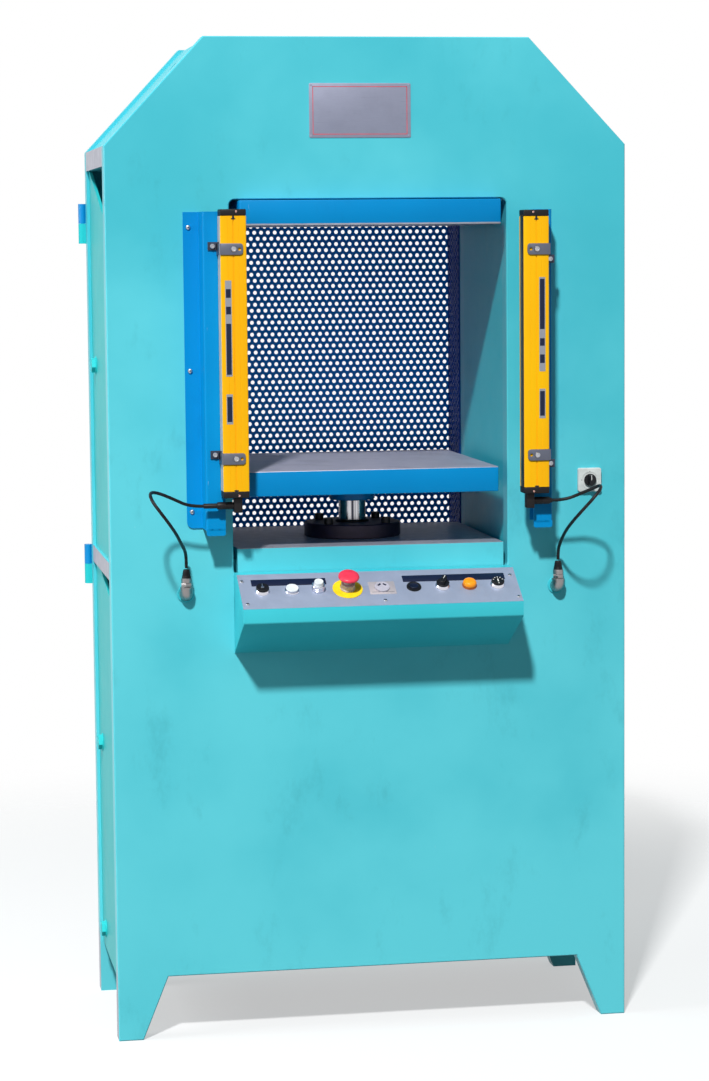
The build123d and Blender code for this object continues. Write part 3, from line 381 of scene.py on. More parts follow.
def block(form, low, high, edge=0.001, steps=2, coat=0, place=Matrix()):
    """A rectangular block between two corners, all its edges rounded."""
    part = bmesh.new()
    bmesh.ops.create_cube(part, size=1)
    size = [b - a for a, b in zip(low, high)]
    bmesh.ops.scale(part, vec=size, verts=part.verts)
    bmesh.ops.translate(part, vec=[(a + b) / 2 for a, b in zip(low, high)], verts=part.verts)
    soften(part, part.edges[:], edge, steps)
    merge(form, part, place, coat)


def ring(radius, count, turn=0.0):
    """Points of a regular outline round the middle."""
    angles = [math.tau * i / count + turn for i in range(count)]
    return [(radius * math.cos(a), radius * math.sin(a)) for a in angles]


def oblong(width, height, x=0.0, y=0.0):
    """A rectangle's corners round a middle."""
    signs = ((-1, -1), (1, -1), (1, 1), (-1, 1))
    return [(x + a * width / 2, y + b * height / 2) for a, b in signs]


def piece(name, form, finishes, node, body="frame", smooth=32):
    """Makes a piece of what has been shaped: its materials, its body and what it stands for."""
    mesh = bpy.data.meshes.new(name)
    form.to_mesh(mesh)
    form.free()
    for finish in finishes:
        mesh.materials.append(finish.material)
    mesh.shade_smooth()
    mesh.set_sharp_from_angle(angle=math.radians(smooth))
    thing = stand(name, mesh)
    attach(thing, body)
    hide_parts(node)


def front(x, y, z):
    """A place on a face that looks to the front: outlines stand upright, depth comes forward."""
    return at(x, y, z) @ Matrix.Rotation(math.pi / 2, 4, "X")


def flank(side, x, y, z):
    """A place on a face that looks to the left (-1) or to the right (1)."""
    return at(x, y, z) @ Matrix.Rotation(side * math.pi / 2, 4, "Y")


form = bmesh.new()
washer = [(0, 0), (0.0185, 0), (0.0185, 0.0014), (0.0178, 0.002), (0, 0.002)]
cover_face, bolt_y = 0.519, 0.115
for side in (-1, 1):
    for z in (0.155, 0.555, 1.347):
        place = flank(side, side * cover_face, bolt_y, z)
        turned(form, place, washer)
        prism(form, place, ring(0.0156, 6, 0.3), 0.0098, edge=0.0012)
        turned(form, place, [(0, 0.0094), (0.0128, 0.0094), (0.0122, 0.01), (0, 0.01)], 32)
piece("cover_bolt_heads", form, [turquoise_side_shaded], "cover_bolts")


# Table: a slab whose top is ground; its lip and edges are enamelled like the frame. The gland, its
# screws and the wiper close the cylinder, and the ram's rod is hard chromed.
def ground(name, along, tone=(128, 130, 138), bright=(170, 171, 178), metal=0.85):
    """Surface-ground steel: fine streaks one way, oil clouds and small pits."""
    finish = Finish(name, Metallic=metal)
    streaks = finish.noise(0.0007, along, 3, 0.6)
    clouds = finish.noise(0.045, detail=7, rough=0.68)
    stains = finish.ease(finish.noise(0.11, detail=5, rough=0.6, shift=9), 0.5, 0.66)
    pits = finish.ease(finish.noise(0.004, detail=4, rough=0.7, shift=2), 0.63, 0.7)
    base = finish.mix(streaks * 0.3 + clouds * 0.7, colour(*tone), colour(*bright))
    base = finish.mix(stains * 0.3, base, colour(*dim(tone, 0.78)))
    paint = finish.mix(pits * 0.45, base, colour(74, 76, 84))
    rough = 0.42 + streaks * 0.1 + finish.ease(clouds, 0.4, 0.65) * 0.14
    return finish.look(paint, rough, streaks - pits * 0.8, 0.0001, 0.4)


def table_top(finish, patches):
    """The table's whole top face."""
    z = finish.axes()[2]
    return finish.ease(z + patches * 0.0002, 0.9896, 0.98995)


dress(enamel("table_finish", *turquoise, table_top), "table_plate")


def coated(name, tone, roughness, metal=0.0):
    """A dark coating on machined steel, with lighter rubbed patches."""
    finish = Finish(name, Metallic=metal)
    rub = finish.noise(0.03, detail=5, rough=0.65)
    fine = finish.noise(0.0008, detail=3)
    tone = colour(*tone)
    lit = tuple(min(1, value * 2.2 + 0.01) for value in tone)
    paint = finish.mix(finish.ease(rub, 0.4, 0.75) * 0.6, tone, lit)
    return finish.look(paint, roughness + fine * 0.12 + rub * 0.1, fine, 0.00008, 0.5)


black_coating = coated("black_coating", (34, 22, 44), 0.42, 0.2)
dress(black_coating, "gland_flange")
socket_screw = coated("socket_screw_black", (16, 16, 20), 0.38, 0.5)
dress(socket_screw, "gland_screws")
hydraulic_grey = coated("hydraulic_grey", (70, 74, 82), 0.4, 0.1)
dress(hydraulic_grey, "cylinder", "oil_tank", "pump_unit", "unit_shelf")
dress(ground("machined_steel", (1, 1, 1)), "piston", "pressure_pipe", "valve_block")
dress(rubber("wiper_rubber", (24, 24, 26), 0.45), "rod_wiper")


def polished(name, tone, roughness, size=0.0009, along=(1, 1, 1)):
    """Plated or polished metal with faint rubbing marks."""
    finish = Finish(name, Metallic=1.0)
    marks = finish.noise(size, along, 3, 0.6)
    haze = finish.noise(0.03, detail=4)
    tone = colour(*tone)
    paint = finish.mix(haze, tone, dim(tone, 0.82))
    return finish.look(paint, roughness + marks * 0.07 + haze * 0.06, marks, 0.00003, 0.4)


chrome_rod = polished("hard_chrome", (150, 152, 160), 0.16, 0.0016, (1, 1, 60))
# Painted reflections: long dark and bright bands run down the rod's colour.
painted_reflection_bands = chrome_rod.ease(chrome_rod.noise(0.011, (1, 1, 90), 2), 0.42, 0.6)
chrome_rod.feed(Base_Color=chrome_rod.mix(painted_reflection_bands, colour(58, 60, 70), colour(206, 206, 210)))
dress(chrome_rod, "ram_rod")


# Platens: two rectangular slabs, painted blue on their sides. The face that presses is left bare
# and ground, and the paint stops just short of it. The lower one stands on the ram's boss.
def pressing_rims(finish, patches):
    """A narrow band beside the two pressing faces."""
    z = finish.axes()[2] + patches * 0.0012
    return (z > 1.145) & (z < 1.6345)


blue_enamel = enamel("blue_enamel", (0, 138, 200), (0, 128, 192), gloss=0.25)
platen_blue = enamel("platen_blue", (0, 140, 203), (0, 124, 186), pressing_rims, gloss=0.12)
platen_steel = ground("platen_steel", (30, 1, 1), (140, 140, 160), (172, 172, 188), 0.3)
for name, body, upward in (("lower_platen", "ram", 1), ("upper_platen", "frame", -1)):
    form = bmesh.new()
    block(form, *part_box(name), 0.0016, 3)
    for face in form.faces:
        if face.normal.z * upward > 0.9:
            face.material_index = 1
    piece(name + "_slab", form, [platen_blue, platen_steel], name, body)
dress(blue_enamel, "ram_boss")


# Rear guard: a box folded from blue perforated sheet of 2 mm, 8.6 mm holes at 15 mm spacing, with
# a plain flange round its mouth and two hinge straps. Holes run on across the folds.
# The screen's blue is brightened as painted light, standing for light thrown onto it, and the box's
# walls, of the same sheet, are navy as painted shade.
guard_blue_painted_light = enamel("guard_blue_painted_light", (8, 142, 236), (6, 128, 224), gloss=0.1)
guard_navy_painted_shade = enamel("guard_navy_painted_shade", (8, 70, 160), (6, 58, 146), gloss=0.05)
hole_radius = 0.0043
hole_pitch = 0.015
row_pitch = hole_pitch * math.sin(math.pi / 3)
guard_sheet = 0.002


def perforated(form, place, width, height):
    """Puts a flat sheet round a place, full of staggered round holes and cut through them."""
    sheet = bmesh.new()
    bmesh.ops.create_circle(sheet, segments=12, radius=hole_radius, cap_ends=False)
    half, rise = hole_pitch / 2, row_pitch / 2
    corners = [(-half, -rise), (0, -rise), (half, -rise), (half, rise), (0, rise), (-half, rise)]
    trace(sheet, [(x, y, 0) for x, y in corners])
    bmesh.ops.triangle_fill(sheet, use_beauty=True, edges=sheet.edges[:])
    columns = math.ceil(width / hole_pitch / 2) + 1
    rows = math.ceil(height / row_pitch / 4) + 1
    for step, count in (
        ((half, row_pitch, 0), 1),
        ((hole_pitch, 0, 0), 2 * columns),
        ((0, 2 * row_pitch, 0), 2 * rows),
    ):
        moved = sheet.verts[:] + sheet.edges[:] + sheet.faces[:]
        for _ in range(count):
            moved = bmesh.ops.duplicate(sheet, geom=moved)["geom"]
            bmesh.ops.translate(sheet, verts=corners_of(moved), vec=step)
    start = (-columns * hole_pitch, -rows * 2 * row_pitch, 0)
    bmesh.ops.translate(sheet, verts=sheet.verts, vec=start)
    for x, y in ((-1, 0), (1, 0), (0, -1), (0, 1)):
        cut = {"plane_co": (x * width / 2, y * height / 2, 0), "plane_no": (x, y, 0)}
        everything = sheet.verts[:] + sheet.edges[:] + sheet.faces[:]
        bmesh.ops.bisect_plane(sheet, geom=everything, clear_outer=True, **cut)
    bmesh.ops.remove_doubles(sheet, verts=sheet.verts, dist=1e-5)
    bmesh.ops.recalc_face_normals(sheet, faces=sheet.faces)
    bmesh.ops.solidify(sheet, geom=sheet.faces[:], thickness=guard_sheet)
    middle = sum(spot.co.z for spot in sheet.verts) / len(sheet.verts)
    sheet.transform(at(0, 0, -middle))
    merge(form, sheet, place, 0)


guard_low, guard_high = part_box("guard_screen")
guard_middle = (guard_low[2] + guard_high[2]) / 2
guard_tall = guard_high[2] - guard_low[2]
form = bmesh.new()
perforated(form, front(0, 0.35399, guard_middle), 0.56, guard_tall)
piece("perforated_screen", form, [guard_blue_painted_light], "guard_screen", "guard")

wall_front, wall_back = 0.2385, 0.353
wall_middle, wall_long = (wall_back + wall_front) / 2, wall_back - wall_front
form = bmesh.new()
for side in (-1, 1):
    perforated(form, flank(side, side * 0.279, wall_middle, guard_middle), guard_tall, wall_long)
    wall_z = guard_middle + side * (guard_tall / 2 - guard_sheet / 2)
    perforated(form, at(0, wall_middle, wall_z), 0.556, wall_long)
    x, z = side * 0.289, guard_middle + side * (guard_tall / 2 + 0.009)
    block(form, (x - 0.011, 0.2365, 0.905), (x + 0.011, wall_front, 1.71), 0.0006)
    block(form, (-0.2785, 0.2366, z - 0.011), (0.2785, 0.2384, z + 0.011), 0.0006)
piece("perforated_box", form, [guard_navy_painted_shade], "guard_box", "guard")
dress(blue_enamel, "guard_straps")


# Nameplate: a satin aluminium plate held by four small rivets, with a thin red border and no words.
def satin(name, tone, grain, roughness=0.4, metal=0.5):
    """Brushed aluminium: long fine streaks, a few deeper scratches and finger marks."""
    finish = Finish(name, Metallic=metal, Specular_IOR_Level=0.35)
    streaks = finish.noise(0.0005, grain, 4, 0.6)
    marks = finish.noise(0.02, detail=5, rough=0.6, shift=1)
    deep = finish.ease(finish.noise(0.0012, grain, 2, 0.5, 5), 0.68, 0.76)
    tone = colour(*tone)
    base = finish.mix(streaks, dim(tone, 0.84), tone)
    smears = finish.noise(0.035, detail=6, rough=0.66, shift=8)
    base = finish.mix(finish.ease(smears, 0.42, 0.66) * 0.35, base, dim(tone, 0.8))
    paint = finish.mix(deep * 0.4, base, dim(tone, 0.45))
    rough = roughness + streaks * 0.1 + finish.ease(marks, 0.45, 0.7) * 0.14
    return finish.look(paint, rough, streaks - deep * 0.6, 0.00006, 0.5)


plate_aluminium = satin("plate_aluminium", (148, 150, 170), (40, 1, 1), 0.4, 0.25)
red_print = coated("red_print", (196, 44, 52), 0.4)
front_face = -0.215
plate_x, plate_y, plate_z = -0.016, front_face - 0.0012, 1.8555
form = bmesh.new()
prism(form, front(plate_x, front_face, plate_z), oblong(0.204, 0.107), 0.0012, 0.003, 0.0003)
border = [(0.19, 0.0012, 0, 0.0465 * side) for side in (1, -1)]
border += [(0.0012, 0.0942, 0.0944 * side, 0) for side in (-1, 1)]
for sizes in border:
    prism(form, front(plate_x, plate_y, plate_z), oblong(*sizes), 0.00008, coat=1)
rivet = [(0, 0), (0.0022, 0), (0.002, 0.0002), (0.0012, 0.0003), (0, 0.0003)]
for x in (-0.098, 0.098):
    for z in (-0.0495, 0.0495):
        turned(form, front(plate_x + x, plate_y, plate_z + z), rivet, 20)
piece("nameplate_sheet", form, [plate_aluminium, red_print], "nameplate")


# Main switch: a light grey moulded plate with a raised ring and two plain dots for its positions,
# and a black knob with a finger bar.
def moulded(name, tone, roughness, grain=0.0006, depth=0.00006, coat=0.0, **more):
    """Moulded plastic with a fine spark texture and slight handling marks."""
    finish = Finish(name, Coat_Weight=coat, Specular_IOR_Level=0.22, **more)
    fine = finish.noise(grain, detail=2)
    marks = finish.noise(0.012, detail=5, rough=0.6)
    tone = colour(*tone)
    paint = finish.mix(finish.ease(marks, 0.35, 0.75), tone, dim(tone, 0.82))
    return finish.look(paint, roughness + marks * 0.12, fine, depth, 0.5)


grey_moulding = moulded("grey_moulding", (214, 217, 214), 0.4)
black_moulding = moulded("black_moulding", (20, 21, 25), 0.34)
screw_zinc = polished("screw_zinc", (188, 190, 196), 0.24)
form = bmesh.new()
switch = front(0.4495, front_face, 1.1125)
prism(form, switch, oblong(0.048, 0.048), 0.0085, 0.004, 0.0012, 3)
rise = [(0.0155, 0.008), (0.0185, 0.008), (0.0183, 0.0092), (0.0158, 0.0092), (0.0155, 0.008)]
turned(form, switch, rise, 48)
for x, y in ((0, 0.0172), (-0.0172, 0)):
    turned(form, switch @ at(x, y, 0.0092), [(0, 0), (0.0009, 0), (0, 0.0001)], 12, 1)
piece("main_switch_plate", form, [grey_moulding, black_moulding], "switch_plate")


def knob(form, place, radius, height, bar):
    """A turning knob: a skirt, a finger bar across it and a light line on the bar."""
    skirt = height * 0.32
    rim = [(0, 0), (radius - 0.0006, 0), (radius, 0.0006), (radius, skirt - 0.001)]
    turned(form, place, rim + [(radius - 0.001, skirt), (0, skirt)], 44)
    grip, tall = oblong(bar, 2 * radius - 0.002), height - skirt + 0.001
    prism(form, place @ at(0, 0, skirt - 0.001), grip, tall, bar * 0.45, 0.0012, 3)
    line = place @ at(0, radius * 0.45, height)
    prism(form, line, oblong(0.0012, radius * 0.8), 0.0001, coat=1)


white_line = moulded("white_line", (236, 236, 232), 0.4)
form = bmesh.new()
knob(form, switch @ at(0, 0, 0.0093), 0.0125, 0.0148, 0.008)
black_white = [black_moulding, white_line]
piece("main_switch_knob", form, black_white, "switch_knob", "switch_knob")


# Console: a housing folded from sheet and welded at its ends, enamelled like the frame. Its slope
# is recessed for the fascia, a brushed aluminium plate with two dark legend strips.
def crosswise(x):
    """A place for outlines drawn on the side (back, up), whose depth goes to the right."""
    turn = Matrix(((0, 0, 1, 0), (1, 0, 0, 0), (0, 1, 0, 0), (0, 0, 0, 1)))
    return at(x, 0, 0) @ turn


form = bmesh.new()
folds = [(front_face, 0.943), (-0.26, 0.943), (-0.25897, 0.941285), (-0.35397, 0.884285)]
folds += [(-0.355, 0.886), (-0.355, 0.856), (front_face, 0.781)]
rounds = [0, 0.0006, 0, 0, 0.0006, 0.0035, 0]
prism(form, crosswise(-0.28), folds, 0.56, rounds, 0.0014, 3, both=True)
piece("console_shell", form, [turquoise_sheet_shaded], "console_housing")

slope = math.atan2(0.057, 0.095)
fascia = at(0, -0.3075, 0.9145) @ Matrix.Rotation(slope, 4, "X")
fascia_metal = satin("fascia_metal", (156, 166, 188), (60, 1, 1), 0.42, 0.25)
dress(fascia_metal, "fascia_plate")

# Dark legend colour, also used for the plug's slits, where it is painted shade.
legend_print_and_slit_shade = moulded("legend_print_and_slit_shade", (22, 30, 56), 0.3, 0.0006, 0.00003)
form = bmesh.new()
for left, right in ((-0.25498, -0.10571), (0.04882, 0.25661)):
    middle = fascia @ at((left + right) / 2, 0.027, 0)
    prism(form, middle, oblong(right - left, 0.02), 0.0008, 0.0012, 0.0002)
piece("legend_plates", form, [legend_print_and_slit_shade], "legend_strips")

# Bezels: turned chromed rings, cone-shaped for the key switch and the selectors and hollow for the
# white button. The low ones are black for the black button and brown for the lamp, the brown being
# painted shade under its lens. The tall button's ring is a deep grooved collar. Each barrel goes
# through the fascia to its contact block.
chrome_ring = polished("chrome_ring", (222, 222, 232), 0.2)
# The brown stands for the shade under the lamp's lens: painted shade.
lamp_foot_painted_shade = moulded("lamp_foot_painted_shade", (176, 92, 34), 0.3)
places = dict(key=-0.235984, white=-0.176904, tall=-0.124712, stop=-0.0658, plug=0.003696)
places |= dict(black=0.067816, mode=0.125608, lamp=0.180488, drive=0.237608)


def control(name, height=0.0, turn=0.0):
    """The place of a control on the fascia."""
    return fascia @ at(places[name], 0, height) @ Matrix.Rotation(turn, 4, "Z")


form = bmesh.new()
bore, foot, barrel_radius, barrel_end = 0.00915, 0.0148, 0.011, -0.012
barrel = [(bore, barrel_end), (barrel_radius, barrel_end), (barrel_radius, 0.0)]
low_ring = [(foot, 0), (foot, 0.0016), (0.0141, 0.0028), (0.0128, 0.003), (0.0118, 0.0026)]
low_ring += [(bore, 0.0024)]
cone = [(foot, 0), (foot, 0.0008), (0.0143, 0.0016), (0.0129, 0.0056), (0.0121, 0.0065)]
cone += [(0.0104, 0.0065), (bore, 0.006)]
collar = [(0.013, 0.0)]
for step in (0.0045, 0.0085):
    collar += [(0.013, step), (0.0124, step + 0.0004)]
    collar += [(0.0124, step + 0.0012), (0.013, step + 0.0016)]
collar += [(0.013, 0.0128), (0.0122, 0.0139), (0.0106, 0.014), (bore, 0.0132)]
seat = [(foot, 0), (foot, 0.0012), (0.0136, 0.003), (0.013, 0.003), (0.0128, 0.0026)]
seat += [(0.0128, 0.0001), (bore, 0.0001)]
for name, shape, coat in (
    ("key", cone, 0),
    ("mode", cone, 0),
    ("drive", cone, 0),
    ("white", seat, 0),
    ("black", low_ring, 1),
    ("lamp", low_ring, 2),
    ("tall", collar, 0),
):
    turned(form, control(name), barrel + shape + barrel[:1], 48, coat)
ring_finishes = [chrome_ring, black_moulding, lamp_foot_painted_shade]
piece("control_bezels", form, ring_finishes, "bezels")

# Push buttons: moulded caps with a slightly hollow face. The tall one is a long pale cap, and the
# white one is wide and has a chromed skirt that sinks into its ring.
button_white = moulded("button_white", (226, 230, 232), 0.3, coat=0.2)
button_black = moulded("button_black", (16, 24, 46), 0.3, coat=0.2)
button_radius = 0.009
for name, height, finish, slot in (
    ("white", 0.008, button_white, "white_plastic"),
    ("black", 0.0045, button_black, "black_plastic"),
    ("tall", 0.022, button_white, "white_plastic"),
):
    wide = 0.0124 if name == "white" else button_radius
    cap = [(0, -0.0085), (button_radius, -0.0085), (button_radius, 0.0034), (wide, 0.0034)]
    cap += [(wide, height - 0.0011), (wide - 0.0003, height - 0.0004), (wide - 0.0011, height)]
    cap += [(wide - 0.0024, height - 0.0003), (0.004, height - 0.0006), (0, height - 0.0007)]
    form = bmesh.new()
    turned(form, control(name), cap, 44)
    if name == "white":
        skirt = [(0.0095, 0.0033), (0.01255, 0.0033), (0.01255, 0.006), (0.0095, 0.006)]
        turned(form, control(name), skirt, 44, 1)
    node = name + "_button"
    piece(node + "_cap", form, [finish, chrome_ring], node, node)

# Emergency stop: a yellow disc under a light grey collar, and a red mushroom head on a sliding
# stem. The head is widest near its top and narrows downwards; three raised marks show its turn.
disc_yellow = moulded("disc_yellow", (255, 214, 30), 0.35)
stem_grey = moulded("stem_grey", (198, 186, 178), 0.4)
stop_red = moulded("stop_red", (236, 58, 82), 0.3, coat=0.2)
disc = [(0.0112, 0), (0.03, 0), (0.03, 0.0011), (0.0296, 0.0015), (0.0112, 0.0015), (0.0112, 0)]
ribbed = [(bore, barrel_end), (barrel_radius, barrel_end), (barrel_radius, 0.0015), (foot, 0.0015)]
ribbed += [(0.015, 0.0022), (0.015, 0.0042), (0.0138, 0.0052), (0.0134, 0.0125)]
ribbed += [(0.0138, 0.0133), (0.0138, 0.0148), (0.0132, 0.0155), (bore, 0.0155), (bore, barrel_end)]
stem = [(0, -0.0055), (0.009, -0.0055), (0.009, 0.03), (0, 0.03)]
for name, profile, steps, finish, slot, node, body in (
    ("stop_backing_disc", disc, 64, disc_yellow, "yellow_plastic", "stop_disc", "frame"),
    ("stop_fixed_collar", ribbed, 48, stem_grey, "grey_plastic", "stop_collar", "frame"),
    ("stop_sliding_stem", stem, 40, stem_grey, "grey_plastic", "stop_stem", "stop_stem"),
):
    form = bmesh.new()
    turned(form, control("stop"), profile, steps)
    piece(name, form, [finish], node, body)
form = bmesh.new()
mushroom = [(0.0092, 0.0235), (0.0122, 0.0235), (0.013, 0.0239), (0.0196, 0.0284), (0.0208, 0.0296)]
mushroom += [(0.021, 0.0308), (0.0206, 0.0322), (0.0192, 0.034), (0.0166, 0.0353)]
mushroom += [(0.0125, 0.0361), (0.006, 0.0365), (0, 0.0365)]
turned(form, control("stop"), mushroom, 56)
for count in range(3):
    arm = control("stop", 0.035, math.tau / 3 * count + 0.4)
    block(form, (-0.0012, 0.0078, 0), (0.0012, 0.0132, 0.00145), 0.0005, place=arm)
piece("stop_mushroom_head", form, [stop_red], "stop_head", "stop_head", 40)

# Key switch and selectors: low black knobs, the key switch with a steel keyway that runs out to
# its rim, the drive selector with pale marks round its face. The mode selector has a tall finger
# bar, set slantwise, with a pale tip.
lever_turn = math.radians(-28)
knob_lift = 0.0068
low_rim = [(0, 0), (0.0124, 0), (0.013, 0.0006), (0.013, 0.0032), (0.0121, 0.0046), (0.011, 0.005)]
low_rim += [(0.0075, 0.0047), (0, 0.0046)]
shaft = [(0, -0.006), (0.009, -0.006), (0.009, knob_lift), (0, knob_lift)]
for name, node in (("key", "key_knob"), ("mode", "mode_selector"), ("drive", "drive_selector")):
    form = bmesh.new()
    turned(form, control(name), shaft, 36)
    if name == "mode":
        knob(form, control(name, knob_lift, lever_turn), 0.013, 0.013, 0.0105)
    else:
        turned(form, control(name, knob_lift), low_rim, 44)
    if name == "key":
        keyway = control(name, 0.0113)
        block(form, (-0.0011, -0.001, 0), (0.0011, 0.0112, 0.00045), 0.0002, 1, 2, keyway)
        turned(form, keyway, [(0, 0), (0.0032, 0), (0.003, 0.0004), (0, 0.0004)], 24, 2)
    if name == "drive":
        for turn in (-75, -35, 0, 35, 75, 180):
            mark = control(name, 0.0115, math.radians(turn)) @ at(0, 0.0092, 0)
            prism(form, mark, oblong(0.0016, 0.0026), 0.0003, coat=1)
        prism(form, control(name, 0.01135), oblong(0.0022, 0.0085), 0.0004, coat=1)
    piece(node + "_grip", form, black_white + [screw_zinc], node, node)

# Signal lamp: a domed orange lens cap on a brown foot and ring; the brown is painted shade under
# the lens.
glow = {"Emission_Color": (*colour(255, 120, 10), 1), "Emission_Strength": 0.08}
lamp_orange = moulded("lamp_orange", (250, 152, 18), 0.24, 0.0012, 0.00004, 0.2, **glow)
form = bmesh.new()
lens = [(0.0136, 0.003), (0.0139, 0.0056), (0.0135, 0.0078), (0.0124, 0.0102), (0.0104, 0.0119)]
lens += [(0.0075, 0.0127), (0.004, 0.013), (0, 0.013)]
turned(form, control("lamp"), lens, 56)
base = [(0, barrel_end), (0.009, barrel_end), (0.009, 0.003), (0.014, 0.003), (0.014, 0.0047)]
turned(form, control("lamp"), base + [(0.0137, 0.0049), (0, 0.0049)], 56, 1)
piece("lamp_lens", form, [lamp_orange, lamp_foot_painted_shade], "signal_lamp")

# Blanking plug: a round grey-beige cover with two cam slots at its rim, drawn as thin dark plates
# whose darkness is painted shade, on a bare label plate.
plug_grey = moulded("plug_grey", (188, 184, 196), 0.36)
label_silver = satin("label_silver", (206, 196, 198), (30, 1, 1), 0.4)
form = bmesh.new()
prism(form, control("plug"), oblong(0.053, 0.04), 0.0008, 0.0015, 0.0002, coat=1)
prism(form, control("plug", 0.0008), oblong(0.045, 0.0008, 0, -0.0135), 0.0001, coat=2)
disc = [(0, 0.0008), (0.015, 0.0008), (0.015, 0.0038), (0.0146, 0.0044), (0.0128, 0.0048)]
disc += [(0.0118, 0.0048), (0.0115, 0.0042), (0, 0.0042)]
turned(form, control("plug"), disc, 48)
for side in (-1, 1):
    # The slits are thin dark plates; their darkness is painted shade.
    slit = control("plug", 0.0042, side * -0.75) @ at(0, 0.0078, 0)
    prism(form, slit, oblong(0.0082, 0.0038), 0.0004, 0.0012, coat=2)
piece("blanking_plug", form, [plug_grey, label_silver, legend_print_and_slit_shade], "label_plug")
dress(black_moulding, "contact_blocks")

# Small screws: pan heads with a cross recess on the fascia and the brackets, and round socket heads
# on the curtain clamps and their feet.
def pan_head(form, place, radius, height, coat=0):
    """A domed screw head with a cross recess, which takes coat 1; the recess is a dark cross of
    thin blocks, its darkness painted shade.
    """
    dome = [(0, 0), (radius, 0), (radius * 0.98, height * 0.35), (radius * 0.8, height * 0.78)]
    dome += [(radius * 0.45, height * 0.97), (0, height)]
    turned(form, place, dome, 28, coat)
    reach, half, low, high = radius * 0.5, radius * 0.09, height * 0.7, height * 1.005
    for turn in (0.5, 0.5 + math.pi / 2):
        cross = place @ Matrix.Rotation(turn, 4, "Z")
        block(form, (-reach, -half, low), (reach, half, high), 0.0001, 1, 1, cross)


def socket_head(form, place, radius, height):
    """A round bolt head with a hexagon socket."""
    cup = [(0, 0), (radius, 0), (radius, height * 0.75), (radius * 0.86, height)]
    cup += [(radius * 0.55, height), (radius * 0.5, height * 0.55), (0, height * 0.5)]
    turned(form, place, cup, 32)


# Each curtain: its side, its middle, its lower end, its bracket's web and how far its clamps' feet
# stand above the straps.
curtains = ((-1, -0.286, 1.101, -0.341, 0.006), (1, 0.316, 1.096, 0.357, -0.02))
curtain_face, curtain_back, half_width = -0.321, -0.281, 0.0255
cap_height, profile_height = 0.013, 0.535
clamp_lifts = 0.077, 0.484
flange_width = 0.031
# Painted shade: the dark of the screws' cross recesses and of the notches in the curtain caps.
recess_painted_shade = moulded("recess_painted_shade", (30, 32, 38), 0.6)
form = bmesh.new()
for x, v in ((-0.273, 0.033), (-0.27, -0.04), (0.004, -0.04), (0.273, -0.041), (0.269, 0.03)):
    pan_head(form, fascia @ at(x, v, 0), 0.004, 0.0021)
for side, x, base, web, foot in curtains:
    for z in (1.067, 1.346, 1.628):
        pan_head(form, front(web - flange_width * 2 / 3, front_face - 0.003, z), 0.005, 0.0038)
    for lift in clamp_lifts:
        socket_head(form, front(x, -0.324, base + lift), 0.0054, 0.005)
        socket_head(form, front(x + side * 0.0365, -0.284, base + lift + foot), 0.005, 0.0046)
piece("small_screw_heads", form, [screw_zinc, recess_painted_shade], "small_screws")

# Light curtains: extruded aluminium profiles, powder coated yellow, with a clamping slot down the
# front, a shallow line on each side of it and a pale strip let into the outer side. The lens
# window on the inner side is dark, with a row of small beam lenses behind it.
def powder(name, tone, deep):
    """Powder coat: an even peel, slight shade changes and a few dull rubs."""
    finish = Finish(name, Specular_IOR_Level=0.2)
    peel = finish.noise(0.0016, detail=2)
    clouds = finish.noise(0.08, (1, 1, 5), 4)
    rubs = finish.ease(finish.noise(0.01, (1, 1, 6), 5, 0.7, 4), 0.66, 0.76)
    tone = colour(*tone)
    shade = finish.mix(finish.ease(clouds, 0.3, 0.7), colour(*deep), tone)
    paint = finish.mix(rubs * 0.3, shade, dim(tone, 0.8))
    return finish.look(paint, 0.33 + rubs * 0.15 + peel * 0.08, peel, 0.00012, 0.4)


curtain_yellow = powder("curtain_yellow", (252, 190, 6), (250, 178, 8))
pale_strip = satin("pale_strip", (206, 200, 192), (1, 1, 60))
plan = [(-half_width, 0), (-0.0115, 0), (-0.011, 0.0004), (-0.0105, 0), (-0.0012, 0)]
plan += [(-0.0012, 0.0018)]
plan += [(-u, v) for u, v in reversed(plan)]
plan += [(half_width, 0.0025), (0.0249, 0.0025), (0.0249, 0.0375)]
plan += [(half_width, 0.0375), (half_width, 0.04), (-half_width, 0.04), (-half_width, 0.031)]
plan += [(-0.024, 0.031), (-0.024, 0.003), (-half_width, 0.003)]
rounds = [0.0018 if index in (0, 11, 16, 17) else 0 for index in range(len(plan))]
form = bmesh.new()
for side, x, base, web, foot in curtains:
    place = at(x, curtain_face, base + cap_height)
    prism(form, place, [(side * u, v) for u, v in plan], profile_height, rounds)
    left, right = sorted((x + side * 0.0249, x + side * 0.0254))
    low, high = base + cap_height + 0.0002, base + cap_height + profile_height - 0.0002
    block(form, (left, -0.3183, low), (right, -0.2837, high), 0.0002, 1, 1)
piece("curtain_extrusions", form, [curtain_yellow, pale_strip], "curtain_profiles")

lens_dark = moulded("lens_dark", (24, 20, 24), 0.3, 0.002, 0.00001, 0.1)
beam_amber = moulded("beam_amber", (150, 120, 60), 0.2, coat=0.4)
form = bmesh.new()
for side, x, base, web, foot in curtains:
    left, right = sorted((x - side * half_width, x - side * 0.024))
    low, high = base + cap_height + 0.0002, base + cap_height + profile_height - 0.0002
    block(form, (left, -0.318, low), (right, -0.29, high), 0.0003)
    for count in range(38):
        spot = flank(-side, x - side * 0.0254, -0.304, base + 0.026 + count * 0.0138)
        turned(form, spot, [(0, 0), (0.0038, 0), (0.0034, 0.00008), (0, 0.0001)], 14, 1)
piece("curtain_lens_windows", form, [lens_dark, beam_amber], "curtain_lenses")

